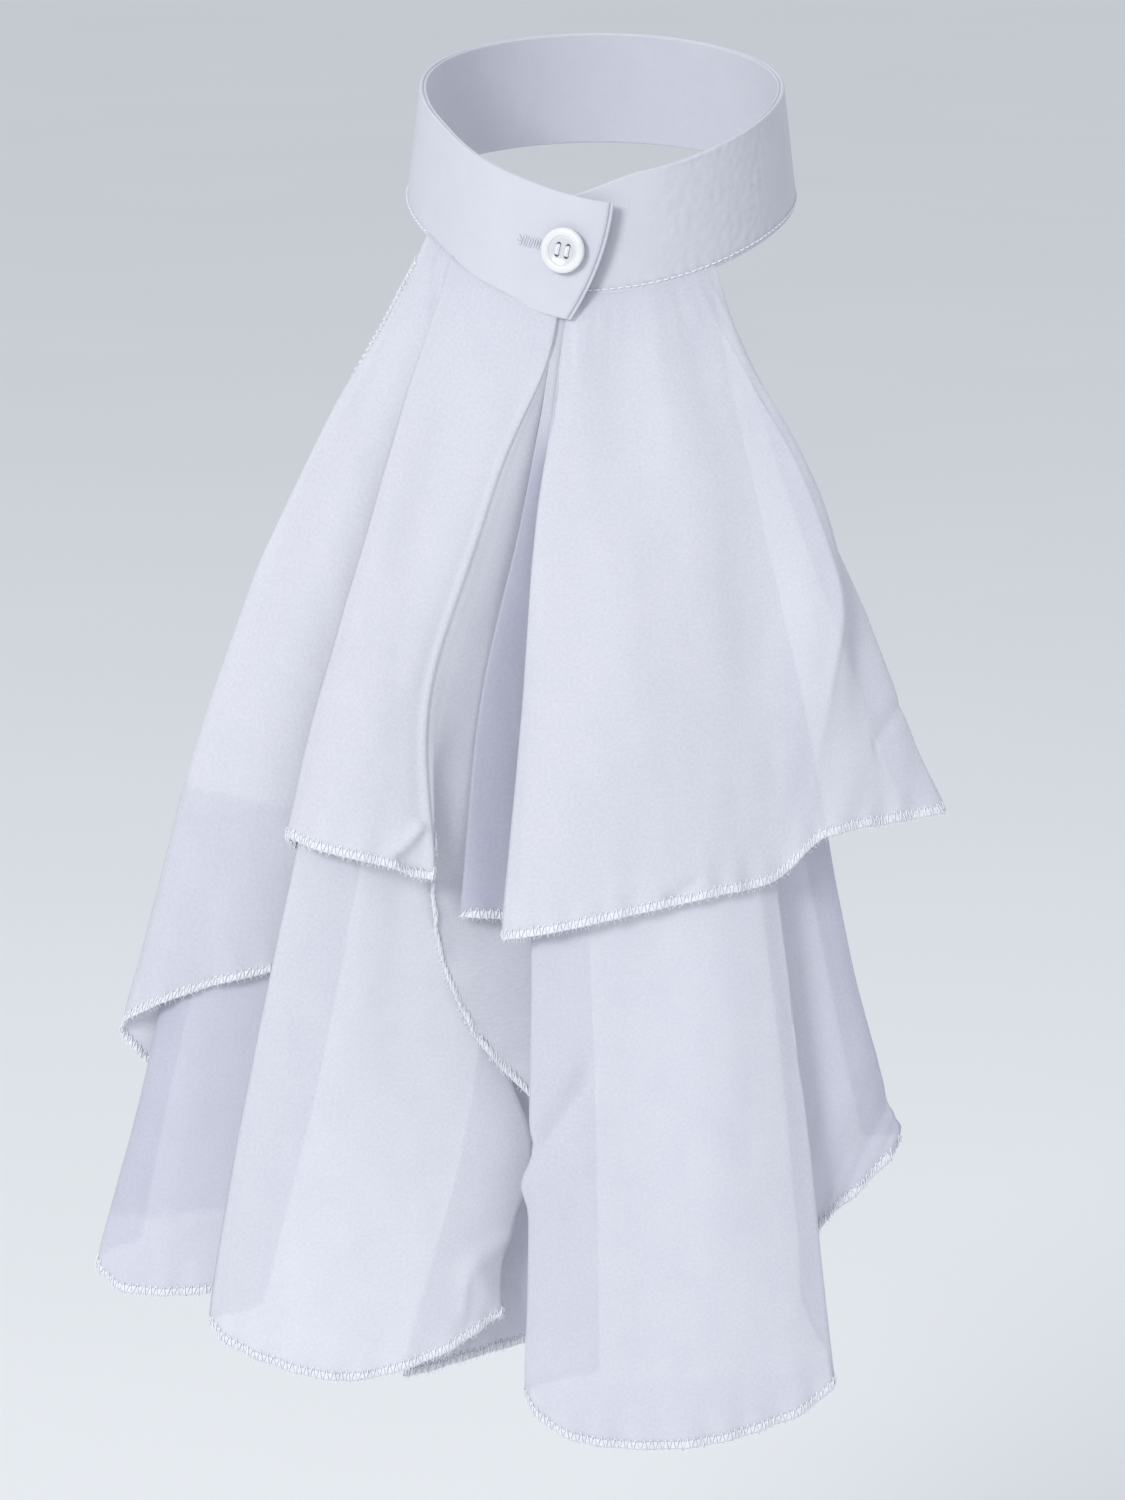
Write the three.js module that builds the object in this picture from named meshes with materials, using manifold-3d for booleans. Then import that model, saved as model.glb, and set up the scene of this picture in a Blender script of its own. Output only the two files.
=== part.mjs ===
// A jabot: a neck ruffle of two gathered chiffon tiers, which hang in two halves from a stand-up neckband
// that closes with one button at the front. It keeps the form that it has when it is worn.
// Lengths are millimetres. +Z is up, the wearer faces -Y, and the origin is the middle of the neck opening.
// Band angles are given in degrees: they count from the front and grow towards +X.
import * as THREE from "three";
import { mergeVertices } from "three/addons/utils/BufferGeometryUtils.js";
import Module from "manifold-3d";

const wasm = await Module();
wasm.setup();

const { clamp, degToRad, lerp, smoothstep } = THREE.MathUtils;

// Neckband
const neckHalfWidth = 59.1;
const neckHalfDepth = 61.6;
const bandHeight = 38.5;
const bandWall = 2.4;
const bandFlare = 4.4;
const bandDip = 16.3;
const bandRoll = 1.5;
const bandLean = 3.4;
const leanAngle = 30;
const underEndAngle = -30;
const underTaper = 8.4;
const taperStartAngle = 13;
const taperEndAngle = -20;
const overEndTopAngle = 363;
const overEndBottomAngle = 351.4;
const overEndBowAngle = 2;
const lapStartAngle = 296;
const lapEndAngle = 327;
const lapGap = 0.6;
const lapDroop = 8.5;
const tipStartAngle = 336;
const tipStandOff = 4;

// Button, thread and buttonhole
const buttonAngle = 349.6;
const buttonRise = 0.55;
const buttonDiameter = 15;
const buttonThickness = 2.6;
const buttonRimWidth = 2.9;
const buttonDish = 1.1;
const buttonStand = 1.2;
const holeDiameter = 1.7;
const holeSpacing = 3.3;
const threadDiameter = 1;
const threadHeight = 0.6;
const shankDiameter = 1.8;
const clearance = 0.3;
const shankFoot = 0.1;
const buttonholeLength = 14;
const buttonholeSlit = 0.8;

// Ruffles
const chiffonWall = 1;
const seamGap = 0.4;
const seamInset = 0.1;
const spread = 160;
const fullness = 40;
const upperDrop = 240;
const lowerDrop = 360;
const fallStart = 1.8;
const yokeFall = 60;
const breastFall = 120;
const waistFall = 234;
const chestSwell = 31;
const chestSetBack = 4.4;
const chestRounding = 18;
const leftInnerAngle = 346.8;
const leftOuterAngle = 298;
const rightInnerAngle = -11.8;
const rightOuterAngle = 34;

// How fine the faceted surfaces are, and how close two vertices are when they count as one
const bandColumns = 72;
const bandRows = 4;
const roundSegments = 40;
const holeSegments = 12;
const stepsPerFold = 3;
const stepsPerLevel = 3;
const weldDistance = 1e-4;

// The chest under the ruffles: [share of the lower drop, share of the swell].
const chestProfile = [
  [0, 0],
  [0.2, 0.33],
  [0.42, 0.67],
  [0.7, 0.94],
  [1, 1],
];

// The fold lines of a sheet, from the middle of the chest to the side. Columns: fold, share of the seam,
// then [x as a share of spread, depth as a share of fullness] at each level, and the same with the fall
// as a share of the drop at the hem. Depth is how far the cloth stands in front of the chest.
// Levels of the upper tier: yoke, breast, hem.
const upperLeftFolds = [
  ["tail", 0, [-0.125, 0.02], [-0.12, 0.1], [-0.14, 0.3, 1.06]],
  ["strip back", 0.012, [-0.135, 0.1], [-0.18, 0.2], [-0.26, 0.37, 0.97]],
  ["strip front", 0.024, [-0.17, 0.22], [-0.28, 0.4], [-0.335, 0.47, 0.845]],
  ["curl", 0.034, [-0.215, 0.3], [-0.33, 0.55], [-0.352, 0.66, 0.665]],
  ["ridge", 0.045, [-0.245, 0.36], [-0.36, 0.65], [-0.345, 0.77, 0.735]],
  ["front right", 0.25, [-0.3, 0.4], [-0.415, 0.75], [-0.43, 0.88, 0.715]],
  ["front middle", 0.42, [-0.37, 0.4], [-0.48, 0.8], [-0.525, 0.93, 0.7]],
  ["front left", 0.58, [-0.44, 0.38], [-0.53, 0.75], [-0.6, 0.88, 0.69]],
  ["front fold", 0.7, [-0.47, 0.29], [-0.58, 0.55], [-0.65, 0.66, 0.685]],
  ["inner turn", 0.76, [-0.4, 0.2], [-0.48, 0.36], [-0.575, 0.45, 0.75]],
  ["wing root", 0.81, [-0.45, 0.17], [-0.53, 0.33], [-0.625, 0.38, 0.86]],
  ["wing middle", 0.87, [-0.54, 0.19], [-0.67, 0.35], [-0.825, 0.38, 0.91]],
  ["wing outside", 0.92, [-0.61, 0.16], [-0.765, 0.28], [-0.96, 0.33, 0.95]],
  ["wing edge", 0.96, [-0.655, 0.11], [-0.805, 0.17], [-1.01, 0.17, 0.985]],
  ["wing back", 1, [-0.62, 0.04], [-0.74, 0.03], [-0.915, 0, 1.06]],
];
const upperRightFolds = [
  ["peek end", 0, [-0.165, 0.34], [-0.25, 0.4], [-0.295, 0.5, 0.795]],
  ["valley", 0.03, [-0.05, 0.2], [-0.06, 0.26], [-0.065, 0.34, 0.81]],
  ["left fold", 0.05, [-0.135, 0.39], [-0.17, 0.68], [-0.205, 0.78, 0.815]],
  ["front left", 0.17, [-0.08, 0.48], [-0.1, 0.88], [-0.12, 0.95, 0.8]],
  ["front middle", 0.35, [0.035, 0.52], [0.035, 0.95], [0.035, 1.02, 0.775]],
  ["front right", 0.54, [0.17, 0.5], [0.205, 0.85], [0.225, 0.93, 0.75]],
  ["soft valley", 0.7, [0.29, 0.42], [0.335, 0.72], [0.355, 0.78, 0.735]],
  ["crease", 0.8, [0.435, 0.33], [0.46, 0.65], [0.46, 0.72, 0.68]],
  ["side facet", 0.88, [0.46, 0.22], [0.53, 0.42], [0.59, 0.5, 0.67]],
  ["outer edge", 0.94, [0.45, 0.14], [0.605, 0.26], [0.71, 0.28, 0.665]],
  ["outer back", 1, [0.39, 0.07], [0.53, 0.1], [0.625, 0.1, 0.67]],
];
// Levels of the lower tier: yoke, breast, waist, hem.
const lowerLeftFolds = [
  ["tail", 0, [-0.125, -0.07], [-0.1, -0.02], [-0.08, -0.04], [-0.065, 0, 0.94]],
  ["strip back", 0.015, [-0.14, 0.02], [-0.165, 0.06], [-0.14, -0.01], [-0.16, 0.07, 0.945]],
  ["hidden turn", 0.03, [-0.19, 0.14], [-0.27, 0.2], [-0.25, 0.03], [-0.42, 0.2, 0.975]],
  ["ridge", 0.045, [-0.245, 0.27], [-0.36, 0.42], [-0.22, 0.22], [-0.215, 0.42, 0.905]],
  ["front right", 0.25, [-0.3, 0.33], [-0.42, 0.62], [-0.39, 0.5], [-0.33, 0.66, 0.935]],
  ["front middle", 0.42, [-0.375, 0.34], [-0.48, 0.7], [-0.51, 0.7], [-0.52, 0.78, 0.96]],
  ["front left", 0.57, [-0.425, 0.335], [-0.52, 0.67], [-0.655, 0.78], [-0.73, 0.68, 0.945]],
  ["front fold", 0.67, [-0.445, 0.31], [-0.555, 0.6], [-0.715, 0.7], [-0.825, 0.5, 0.92]],
  ["inner turn", 0.73, [-0.362, 0.235], [-0.435, 0.4], [-0.575, 0.48], [-0.71, 0.35, 0.905]],
  ["wing root", 0.81, [-0.44, 0.11], [-0.52, 0.23], [-0.655, 0.26], [-0.78, 0.28, 0.9]],
  ["wing middle", 0.87, [-0.52, 0.12], [-0.645, 0.25], [-0.83, 0.28], [-0.945, 0.28, 0.905]],
  ["wing outside", 0.92, [-0.575, 0.12], [-0.71, 0.2], [-0.9, 0.23], [-1.035, 0.23, 0.9]],
  ["wing edge", 0.96, [-0.63, 0.1], [-0.765, 0.14], [-0.93, 0.15], [-1.065, 0.12, 0.88]],
  ["wing back", 1, [-0.57, 0.06], [-0.68, 0.06], [-0.875, 0.05], [-0.975, 0.03, 0.86]],
];
const lowerRightFolds = [
  ["tail", 0.11, [-0.07, 0.385], [-0.05, 0.62], [-0.02, 0.55], [-0.005, 0.4, 0.96]],
  ["left fold", 0.13, [-0.09, 0.425], [-0.145, 0.71], [-0.15, 0.7], [-0.165, 0.6, 0.975]],
  ["front left", 0.2, [-0.05, 0.44], [-0.085, 0.78], [-0.075, 0.8], [-0.08, 0.75, 1.01]],
  ["front middle", 0.35, [0.04, 0.45], [0.06, 0.82], [0.105, 0.85], [0.12, 0.82, 1.02]],
  ["front right", 0.54, [0.16, 0.41], [0.205, 0.72], [0.295, 0.78], [0.335, 0.75, 1.005]],
  ["right fold", 0.7, [0.25, 0.31], [0.305, 0.57], [0.405, 0.62], [0.485, 0.6, 0.97]],
  ["inner turn", 0.78, [0.225, 0.24], [0.265, 0.42], [0.365, 0.45], [0.41, 0.42, 0.885]],
  ["wing root", 0.84, [0.255, 0.17], [0.305, 0.33], [0.41, 0.35], [0.455, 0.33, 0.83]],
  ["wing middle", 0.9, [0.29, 0.16], [0.36, 0.28], [0.495, 0.3], [0.55, 0.28, 0.79]],
  ["wing edge", 0.95, [0.315, 0.1], [0.405, 0.17], [0.555, 0.17], [0.625, 0.15, 0.75]],
  ["wing back", 1, [0.285, 0.03], [0.35, 0.05], [0.495, 0.03], [0.545, 0.03, 0.75]],
];

// Each tier: where it sits in the band's wall, its levels and its drop.
const tiers = {
  upper: { seat: bandWall - chiffonWall / 2 - seamInset, levels: [yokeFall, breastFall], drop: upperDrop },
  lower: { seat: chiffonWall / 2, levels: [yokeFall, breastFall, waistFall], drop: lowerDrop },
};

// How far the over-end stands outside the under-end at a band angle, and how far it droops there.
function lapLift(angle) {
  const lapped = smoothstep(angle, lapStartAngle, lapEndAngle) * (bandWall + lapGap);
  return lapped + smoothstep(angle, tipStartAngle, overEndTopAngle) * tipStandOff;
}

function lapFall(angle, rise) {
  const share = clamp((angle - lapStartAngle) / (overEndTopAngle - lapStartAngle), 0, 1);
  return lerp(smoothstep(share, 0, 1), share ** 2, rise) * lapDroop;
}

// How far the under-end's top edge comes down, so that the over-end hides it.
function underFall(angle) {
  return smoothstep(-angle, -taperStartAngle, -taperEndAngle) * underTaper;
}

// The height of the band's middle line: it dips at the front, rises at the back and leans to one side.
function bandMiddle(angle) {
  const turn = degToRad(angle);
  const lean = (Math.sin(2 * degToRad(angle - leanAngle)) * (1 + Math.cos(turn))) / 2;
  return bandLean * lean - bandDip * Math.cos(turn) - bandRoll * Math.cos(2 * turn);
}

// A place on the band: rise runs from 0 at its bottom edge to 1 at its top edge, and depth from 0 on its
// inside to bandWall on its outside.
function bandPoint(angle, rise, depth) {
  const turn = degToRad(angle);
  const out = depth + bandFlare * (1 - rise) + lapLift(angle);
  const x = (neckHalfWidth + out) * Math.sin(turn);
  const y = -(neckHalfDepth + out) * Math.cos(turn);
  const middle = bandMiddle(angle) - lapFall(angle, rise) - underFall(angle) * rise;
  return new THREE.Vector3(x, y, middle + bandHeight * (rise - 0.5));
}

// A closed slab between two grids of points, as an indexed geometry. The outer grid lies on the side that
// the cross product of the column direction and the row direction points to.
function slabGeometry(columns, rows, outer, inner) {
  const positions = [];
  for (const surface of [outer, inner]) {
    for (let row = 0; row <= rows; row++) {
      for (let column = 0; column <= columns; column++) {
        positions.push(...surface(column, row).toArray());
      }
    }
  }
  const perSide = (columns + 1) * (rows + 1);
  const out = (column, row) => row * (columns + 1) + column;
  const back = (column, row) => perSide + out(column, row);
  const faces = [];
  const quad = (a, b, c, d) => faces.push(a, b, c, a, c, d);
  for (let row = 0; row < rows; row++) {
    for (let column = 0; column < columns; column++) {
      const [right, below] = [column + 1, row + 1];
      quad(out(column, row), out(right, row), out(right, below), out(column, below));
      quad(back(column, row), back(column, below), back(right, below), back(right, row));
    }
  }
  for (let column = 0; column < columns; column++) {
    const right = column + 1;
    quad(out(right, 0), out(column, 0), back(column, 0), back(right, 0));
    quad(out(column, rows), out(right, rows), back(right, rows), back(column, rows));
  }
  for (let row = 0; row < rows; row++) {
    const below = row + 1;
    quad(out(0, row), out(0, below), back(0, below), back(0, row));
    quad(out(columns, below), out(columns, row), back(columns, row), back(columns, below));
  }
  const geometry = new THREE.BufferGeometry();
  geometry.setAttribute("position", new THREE.Float32BufferAttribute(positions, 3));
  geometry.setIndex(faces);
  return geometry;
}

// Solids for the joins and cuts
function toSolid(geometry) {
  const bare = geometry.clone();
  bare.deleteAttribute("normal");
  bare.deleteAttribute("uv");
  const merged = mergeVertices(bare, weldDistance);
  const vertProperties = new Float32Array(merged.attributes.position.array);
  const triVerts = new Uint32Array(merged.index.array);
  return new wasm.Manifold(new wasm.Mesh({ numProp: 3, vertProperties, triVerts }));
}

function toGeometry(solid) {
  const { vertProperties, triVerts } = solid.getMesh();
  const geometry = new THREE.BufferGeometry();
  geometry.setAttribute("position", new THREE.BufferAttribute(vertProperties, 3));
  geometry.setIndex(new THREE.BufferAttribute(triVerts, 1));
  return geometry;
}

function namedMesh(name, geometry, material) {
  const flat = geometry.index ? geometry.toNonIndexed() : geometry;
  flat.computeVertexNormals();
  const mesh = new THREE.Mesh(flat, material);
  mesh.name = name;
  return mesh;
}

// The button's own frame on the over-end: X along the band, Y up the band and Z out of it.
function buttonFrame() {
  const seat = bandPoint(buttonAngle, buttonRise, bandWall);
  const along = bandPoint(buttonAngle + 1, buttonRise, bandWall).sub(seat).normalize();
  const up = bandPoint(buttonAngle, 1, bandWall).sub(seat).normalize();
  const out = new THREE.Vector3().crossVectors(along, up).normalize();
  up.crossVectors(out, along);
  return new THREE.Matrix4().makeBasis(along, up, out).setPosition(seat);
}

// A turned shape about the frame's Z axis, from [radius, height] pairs that run from the axis to the axis.
function turned(pairs, segments) {
  const profile = pairs.map(([radius, height]) => new THREE.Vector2(radius, height));
  return new THREE.LatheGeometry(profile, segments).rotateX(Math.PI / 2);
}

function neckBand() {
  const place = (column, row, depth) => {
    const rise = row / bandRows;
    const bow = overEndBowAngle * 4 * rise * (1 - rise);
    const endAngle = lerp(overEndBottomAngle, overEndTopAngle, rise) + bow;
    return bandPoint(lerp(underEndAngle, endAngle, column / bandColumns), rise, depth);
  };
  const outside = (column, row) => place(column, row, bandWall);
  const inside = (column, row) => place(column, row, 0);
  const ring = toSolid(slabGeometry(bandColumns, bandRows, outside, inside));

  const slot = new THREE.Shape();
  const shankRoom = shankDiameter / 2 + clearance;
  slot.absarc(0, 0, shankRoom, -Math.PI / 2, Math.PI / 2);
  slot.absarc(shankRoom - buttonholeLength, 0, buttonholeSlit / 2, Math.PI / 2, (3 * Math.PI) / 2);
  // The band curves away behind the slot's far end by this much.
  const curveBack = buttonholeLength ** 2 / (2 * neckHalfDepth);
  const cutter = new THREE.ExtrudeGeometry(slot, {
    depth: bandWall * 2 + curveBack,
    bevelEnabled: false,
    curveSegments: holeSegments,
  });
  cutter.translate(0, 0, -bandWall - curveBack);
  cutter.applyMatrix4(buttonFrame());
  return toGeometry(ring.subtract(toSolid(cutter)));
}

// The four holes sit on a square, at [along, up] of the button's middle.
const half = holeSpacing / 2;
const holePlaces = [
  [-half, -half],
  [half, -half],
  [half, half],
  [-half, half],
];

function button() {
  const radius = buttonDiameter / 2;
  const top = buttonStand + buttonThickness;
  const dishFloor = top - buttonDish;
  const bevel = buttonThickness / 4;
  const body = turned(
    [
      [0, buttonStand],
      [radius - 3 * bevel, buttonStand],
      [radius - bevel / 2, buttonStand + bevel],
      [radius, buttonStand + 2 * bevel],
      [radius - bevel / 3, top - bevel / 3],
      [radius - bevel, top],
      [radius - buttonRimWidth, top - bevel / 3],
      [radius - buttonRimWidth - bevel, dishFloor],
      [0, dishFloor],
    ],
    roundSegments,
  );
  let solid = toSolid(body);
  for (const [along, up] of holePlaces) {
    const hole = new THREE.CylinderGeometry(holeDiameter / 2, holeDiameter / 2, top * 2, holeSegments);
    hole.rotateX(Math.PI / 2).translate(along, up, buttonStand);
    solid = solid.subtract(toSolid(hole));
  }
  return toGeometry(solid);
}

// The thread stands on the under-end, passes the buttonhole and holds the button with two bars.
function buttonThread() {
  const seatRise = buttonRise - lapFall(buttonAngle, buttonRise) / bandHeight;
  const seat = bandPoint(buttonAngle - 360, seatRise, bandWall);
  const foot = seat.applyMatrix4(buttonFrame().invert()).z + clearance;
  const under = buttonStand - clearance;
  const spreadRadius = Math.hypot(half, half) + threadDiameter / 2 + shankFoot;
  const shankRadius = shankDiameter / 2;
  const shank = turned(
    [
      [0, foot],
      [shankRadius, foot],
      [shankRadius, 0],
      [spreadRadius, under - clearance / 2],
      [spreadRadius, under],
      [0, under],
    ],
    holeSegments * 2,
  );
  let solid = toSolid(shank);
  const barFloor = buttonStand + buttonThickness - buttonDish + clearance / 2;
  const barTop = barFloor + threadHeight;
  for (const [along, up] of holePlaces) {
    const leg = new THREE.CylinderGeometry(threadDiameter / 2, threadDiameter / 2, barTop, holeSegments);
    leg.rotateX(Math.PI / 2).translate(along, up, barTop / 2);
    leg.translate(0, 0, under / 2 - threadHeight / 4);
    solid = solid.add(toSolid(leg));
  }
  for (const along of [-half, half]) {
    const bar = new THREE.BoxGeometry(threadDiameter, holeSpacing + threadDiameter, threadHeight);
    bar.translate(along, 0, (barFloor + barTop) / 2);
    solid = solid.add(toSolid(bar));
  }
  return toGeometry(solid);
}

// How far in front of the origin the chest lies.
function chestForward(x, fall) {
  const share = clamp(fall / lowerDrop, 0, 1);
  const next = Math.max(1, chestProfile.findIndex(([level]) => level >= share));
  const [levelAbove, swellAbove] = chestProfile[next - 1];
  const [levelBelow, swellBelow] = chestProfile[next];
  const between = (share - levelAbove) / (levelBelow - levelAbove);
  const swell = chestSwell * lerp(swellAbove, swellBelow, between);
  const bandFront = neckHalfDepth + bandFlare + bandWall;
  return bandFront - chestSetBack + swell - chestRounding * (x / spread) ** 2;
}

// The ruffles' falls count from a little below the lowest corner of the over-end.
const ruffleTop = bandPoint(overEndBottomAngle, 0, 0).z - fallStart;

// One fold line from the seam to the hem, as a curve.
function foldLine([, seamShare, ...stations], tier, seam) {
  const angle = lerp(...seam, seamShare);
  const top = bandPoint(angle, 0, tier.seat);
  top.z -= seamGap;
  const points = [top];
  stations.forEach(([xShare, depthShare, hemShare], index) => {
    const fall = index < tier.levels.length ? tier.levels[index] : hemShare * tier.drop;
    const x = xShare * spread;
    const y = -chestForward(x, fall) - depthShare * fullness;
    points.push(new THREE.Vector3(x, y, ruffleTop - fall));
  });
  return new THREE.CatmullRomCurve3(points, false, "centripetal");
}

// A pleated sheet: a curve across the fold lines at each row, thickened by its own normals.
function ruffle(folds, tier, seam) {
  const lines = folds.map((fold) => foldLine(fold, tier, seam));
  const columns = (folds.length - 1) * stepsPerFold;
  const rows = (tier.levels.length + 1) * stepsPerLevel;
  const middle = [];
  for (let row = 0; row <= rows; row++) {
    const across = lines.map((line) => line.getPoint(row / rows));
    const curve = new THREE.CatmullRomCurve3(across, false, "centripetal");
    middle.push(curve.getPoints(columns));
  }
  const offset = (column, row, distance) => {
    const [left, right] = [Math.max(column - 1, 0), Math.min(column + 1, columns)];
    const [above, below] = [Math.max(row - 1, 0), Math.min(row + 1, rows)];
    const along = middle[row][right].clone().sub(middle[row][left]);
    const down = middle[below][column].clone().sub(middle[above][column]);
    const normal = along.cross(down).normalize();
    return middle[row][column].clone().addScaledVector(normal, distance);
  };
  const outer = (column, row) => offset(column, row, chiffonWall / 2);
  const inner = (column, row) => offset(column, row, -chiffonWall / 2);
  return slabGeometry(columns, rows, outer, inner);
}

// Materials
const bandCloth = new THREE.MeshStandardMaterial({ color: 0xf2f2f8, roughness: 0.85, metalness: 0 });
const chiffon = new THREE.MeshStandardMaterial({ color: 0xecedf6, roughness: 0.9, metalness: 0 });
const pearlWhite = new THREE.MeshStandardMaterial({ color: 0xfafafa, roughness: 0.25, metalness: 0 });
const cotton = new THREE.MeshStandardMaterial({ color: 0xf6f6f2, roughness: 0.95, metalness: 0 });

const jabot = new THREE.Group();
jabot.add(namedMesh("neck_band", neckBand(), bandCloth));

const fastening = new THREE.Group();
fastening.applyMatrix4(buttonFrame());
fastening.add(namedMesh("button", button(), pearlWhite));
fastening.add(namedMesh("button_thread", buttonThread(), cotton));
jabot.add(fastening);

const leftSeam = [leftInnerAngle, leftOuterAngle];
const rightSeam = [rightInnerAngle, rightOuterAngle];
const sheets = [
  ["upper_ruffle_left", upperLeftFolds, tiers.upper, leftSeam],
  ["upper_ruffle_right", upperRightFolds, tiers.upper, rightSeam],
  ["lower_ruffle_left", lowerLeftFolds, tiers.lower, leftSeam],
  ["lower_ruffle_right", lowerRightFolds, tiers.lower, rightSeam],
];
for (const [name, folds, tier, seam] of sheets) {
  jabot.add(namedMesh(name, ruffle(folds, tier, seam), chiffon));
}

export default jabot;
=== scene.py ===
import math

import bmesh
import bpy
import numpy as np
from mathutils import Matrix, Vector, noise


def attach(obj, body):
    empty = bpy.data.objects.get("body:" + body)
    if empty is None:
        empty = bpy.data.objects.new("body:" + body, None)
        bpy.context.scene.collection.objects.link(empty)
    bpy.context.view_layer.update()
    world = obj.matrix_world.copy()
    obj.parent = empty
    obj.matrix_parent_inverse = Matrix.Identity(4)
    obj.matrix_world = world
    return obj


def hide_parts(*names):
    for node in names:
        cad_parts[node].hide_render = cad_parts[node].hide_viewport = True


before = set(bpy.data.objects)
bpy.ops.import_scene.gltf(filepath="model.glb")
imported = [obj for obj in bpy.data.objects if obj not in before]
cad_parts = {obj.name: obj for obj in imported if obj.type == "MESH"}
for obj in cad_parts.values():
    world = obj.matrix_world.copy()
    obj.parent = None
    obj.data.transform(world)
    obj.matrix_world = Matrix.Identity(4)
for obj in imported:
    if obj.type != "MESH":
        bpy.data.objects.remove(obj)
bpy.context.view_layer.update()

# A jabot: a buttoned neckband with two tiers of pleated chiffon. Metres, +Z up, the front faces -Y.
# Band angles are degrees, counted from the front and growing towards +X.

band = {
    "halfWidth": 0.0591,
    "halfDepth": 0.0616,
    "height": 0.0385,
    "length": 0.42,  # from end to end, round its middle
    "wall": 0.0024,
    "flare": 0.0044,
    "dip": 0.0163,
    "roll": 0.0015,
    "lean": 0.0034,
    "leanAngle": 30.0,
    "underEnd": -30.0,
    "underTaper": 0.0084,
    "taperStart": 13.0,
    "taperEnd": -20.0,
    "overEndTop": 363.0,
    "overEndBottom": 351.4,
    "overEndBow": 2.0,
    "lapStart": 296.0,
    "lapEnd": 327.0,
    "lapGap": 0.0006,
    "lapDroop": 0.0085,
    "tipStart": 336.0,
    "tipStandOff": 0.004,
    "faceThickness": 0.0012,
    "faceGrid": (420, 34),  # columns and rows between the rounded edges
    "liningThickness": 0.0009,
    "liningInset": 0.0002,
    "liningGrid": (220, 12),
    "coreShare": 0.5,  # how much of the wall the interfacing takes up
    "coreInset": 0.0006,
    "coreGrid": (220, 6),
    "edgeRound": 0.0006,
    "pucker": 0.00012,  # how deep the topstitching draws the face in
    "puckerLength": 0.0048,
    "puckerHeight": 0.0024,
    "puckerReach": 0.0022,
    "softScale": (22, 0.7),  # of the soft waves, along and up
    "puckerEnds": (285, 300),  # the over-end's front isn't topstitched
    "creaseAngle": 71.0,  # where a soft crease runs up the band
    "creaseSlant": 3.0,
    "creaseWidth": 1.6,
    "creaseDepth": 0.0007,
    "crumple": 0.00032,  # the uneven face of the right part
    "crumpleScale": (460, 23),
    "crumpleStarts": (8, 22),
    "crumpleEnds": (50, 75),
    "plyLine": 0.0011,  # how far from the over-end's edge its pressed seam runs
    "plyDepth": 0.0004,
    "plyWidth": 0.0002,
    "plyShade": 0.9,
    "stitchLine": 0.0018,  # how far above the bottom edge the topstitching runs
    "stitchWidth": 0.0006,
    "stitchShade": 0.35,
}


def ramp(value, low, high):
    share = np.clip((np.asarray(value, float) - low) / (high - low), 0, 1)
    return share * share * (3 - 2 * share)


def bell(value, middle, width):  # 1 at the middle, fading on both sides
    return np.exp(-((value - middle) / width) ** 2)


def noiseOver(u, v, scales, seed):
    return np.array([[noise.noise(Vector((a * scales[0], b * scales[1], seed))) for a, b in zip(rowU, rowV)]
                     for rowU, rowV in zip(u, v)])


def unit(vectors):
    return vectors / np.maximum(np.linalg.norm(vectors, axis=-1, keepdims=True), 1e-12)


def lapLift(angle):
    lapped = ramp(angle, band["lapStart"], band["lapEnd"]) * (band["wall"] + band["lapGap"])
    return lapped + ramp(angle, band["tipStart"], band["overEndTop"]) * band["tipStandOff"]


def lapFall(angle, rise):
    lap = band["overEndTop"] - band["lapStart"]
    share = np.clip((np.asarray(angle, float) - band["lapStart"]) / lap, 0, 1)
    return (ramp(share, 0, 1) * (1 - rise) + share**2 * rise) * band["lapDroop"]


def underFall(angle):
    return ramp(-np.asarray(angle, float), -band["taperStart"], -band["taperEnd"]) * band["underTaper"]


def bandMiddle(angle):
    turn = np.radians(angle)
    lean = np.sin(2 * np.radians(angle - band["leanAngle"])) * (1 + np.cos(turn)) / 2
    return band["lean"] * lean - band["dip"] * np.cos(turn) - band["roll"] * np.cos(2 * turn)


def bandPoint(angle, rise, depth):  # rise 0 bottom to 1 top, depth 0 inside to the wall's thickness
    angle, rise, depth = np.broadcast_arrays(angle, rise, depth)
    turn = np.radians(angle)
    out = depth + band["flare"] * (1 - rise) + lapLift(angle)
    x = (band["halfWidth"] + out) * np.sin(turn)
    y = -(band["halfDepth"] + out) * np.cos(turn)
    middle = bandMiddle(angle) - lapFall(angle, rise) - underFall(angle) * rise
    return np.stack([x, y, middle + band["height"] * (rise - 0.5)], -1)


def curveThrough(points, shares):  # centripetal curve through points (k, n, 3), read at shares from 0 to 1
    points = np.asarray(points, float)
    padded = np.concatenate([2 * points[:1] - points[1:2], points, 2 * points[-1:] - points[-2:-1]])
    place = np.clip(shares, 0, 1) * (len(points) - 1)
    index = np.minimum(place.astype(int), len(points) - 2)
    t = (place - index)[:, None, None]
    p0, p1, p2, p3 = (padded[index + step] for step in range(4))

    def knot(a, b):
        return np.maximum(np.linalg.norm(b - a, axis=-1, keepdims=True), 1e-9) ** 0.5

    d0, d1, d2 = knot(p0, p1), knot(p1, p2), knot(p2, p3)
    leave = ((p1 - p0) / d0 - (p2 - p0) / (d0 + d1) + (p2 - p1) / d1) * d1
    arrive = ((p2 - p1) / d1 - (p3 - p1) / (d1 + d2) + (p3 - p2) / d2) * d1
    bend = -3 * p1 + 3 * p2 - 2 * leave - arrive
    return p1 + t * leave + t**2 * bend + t**3 * (2 * p1 - 2 * p2 + leave + arrive)


# Mesh helpers

def newObject(name, data):
    made = bpy.data.objects.new(name, data)
    bpy.context.scene.collection.objects.link(made)
    return made


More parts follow.
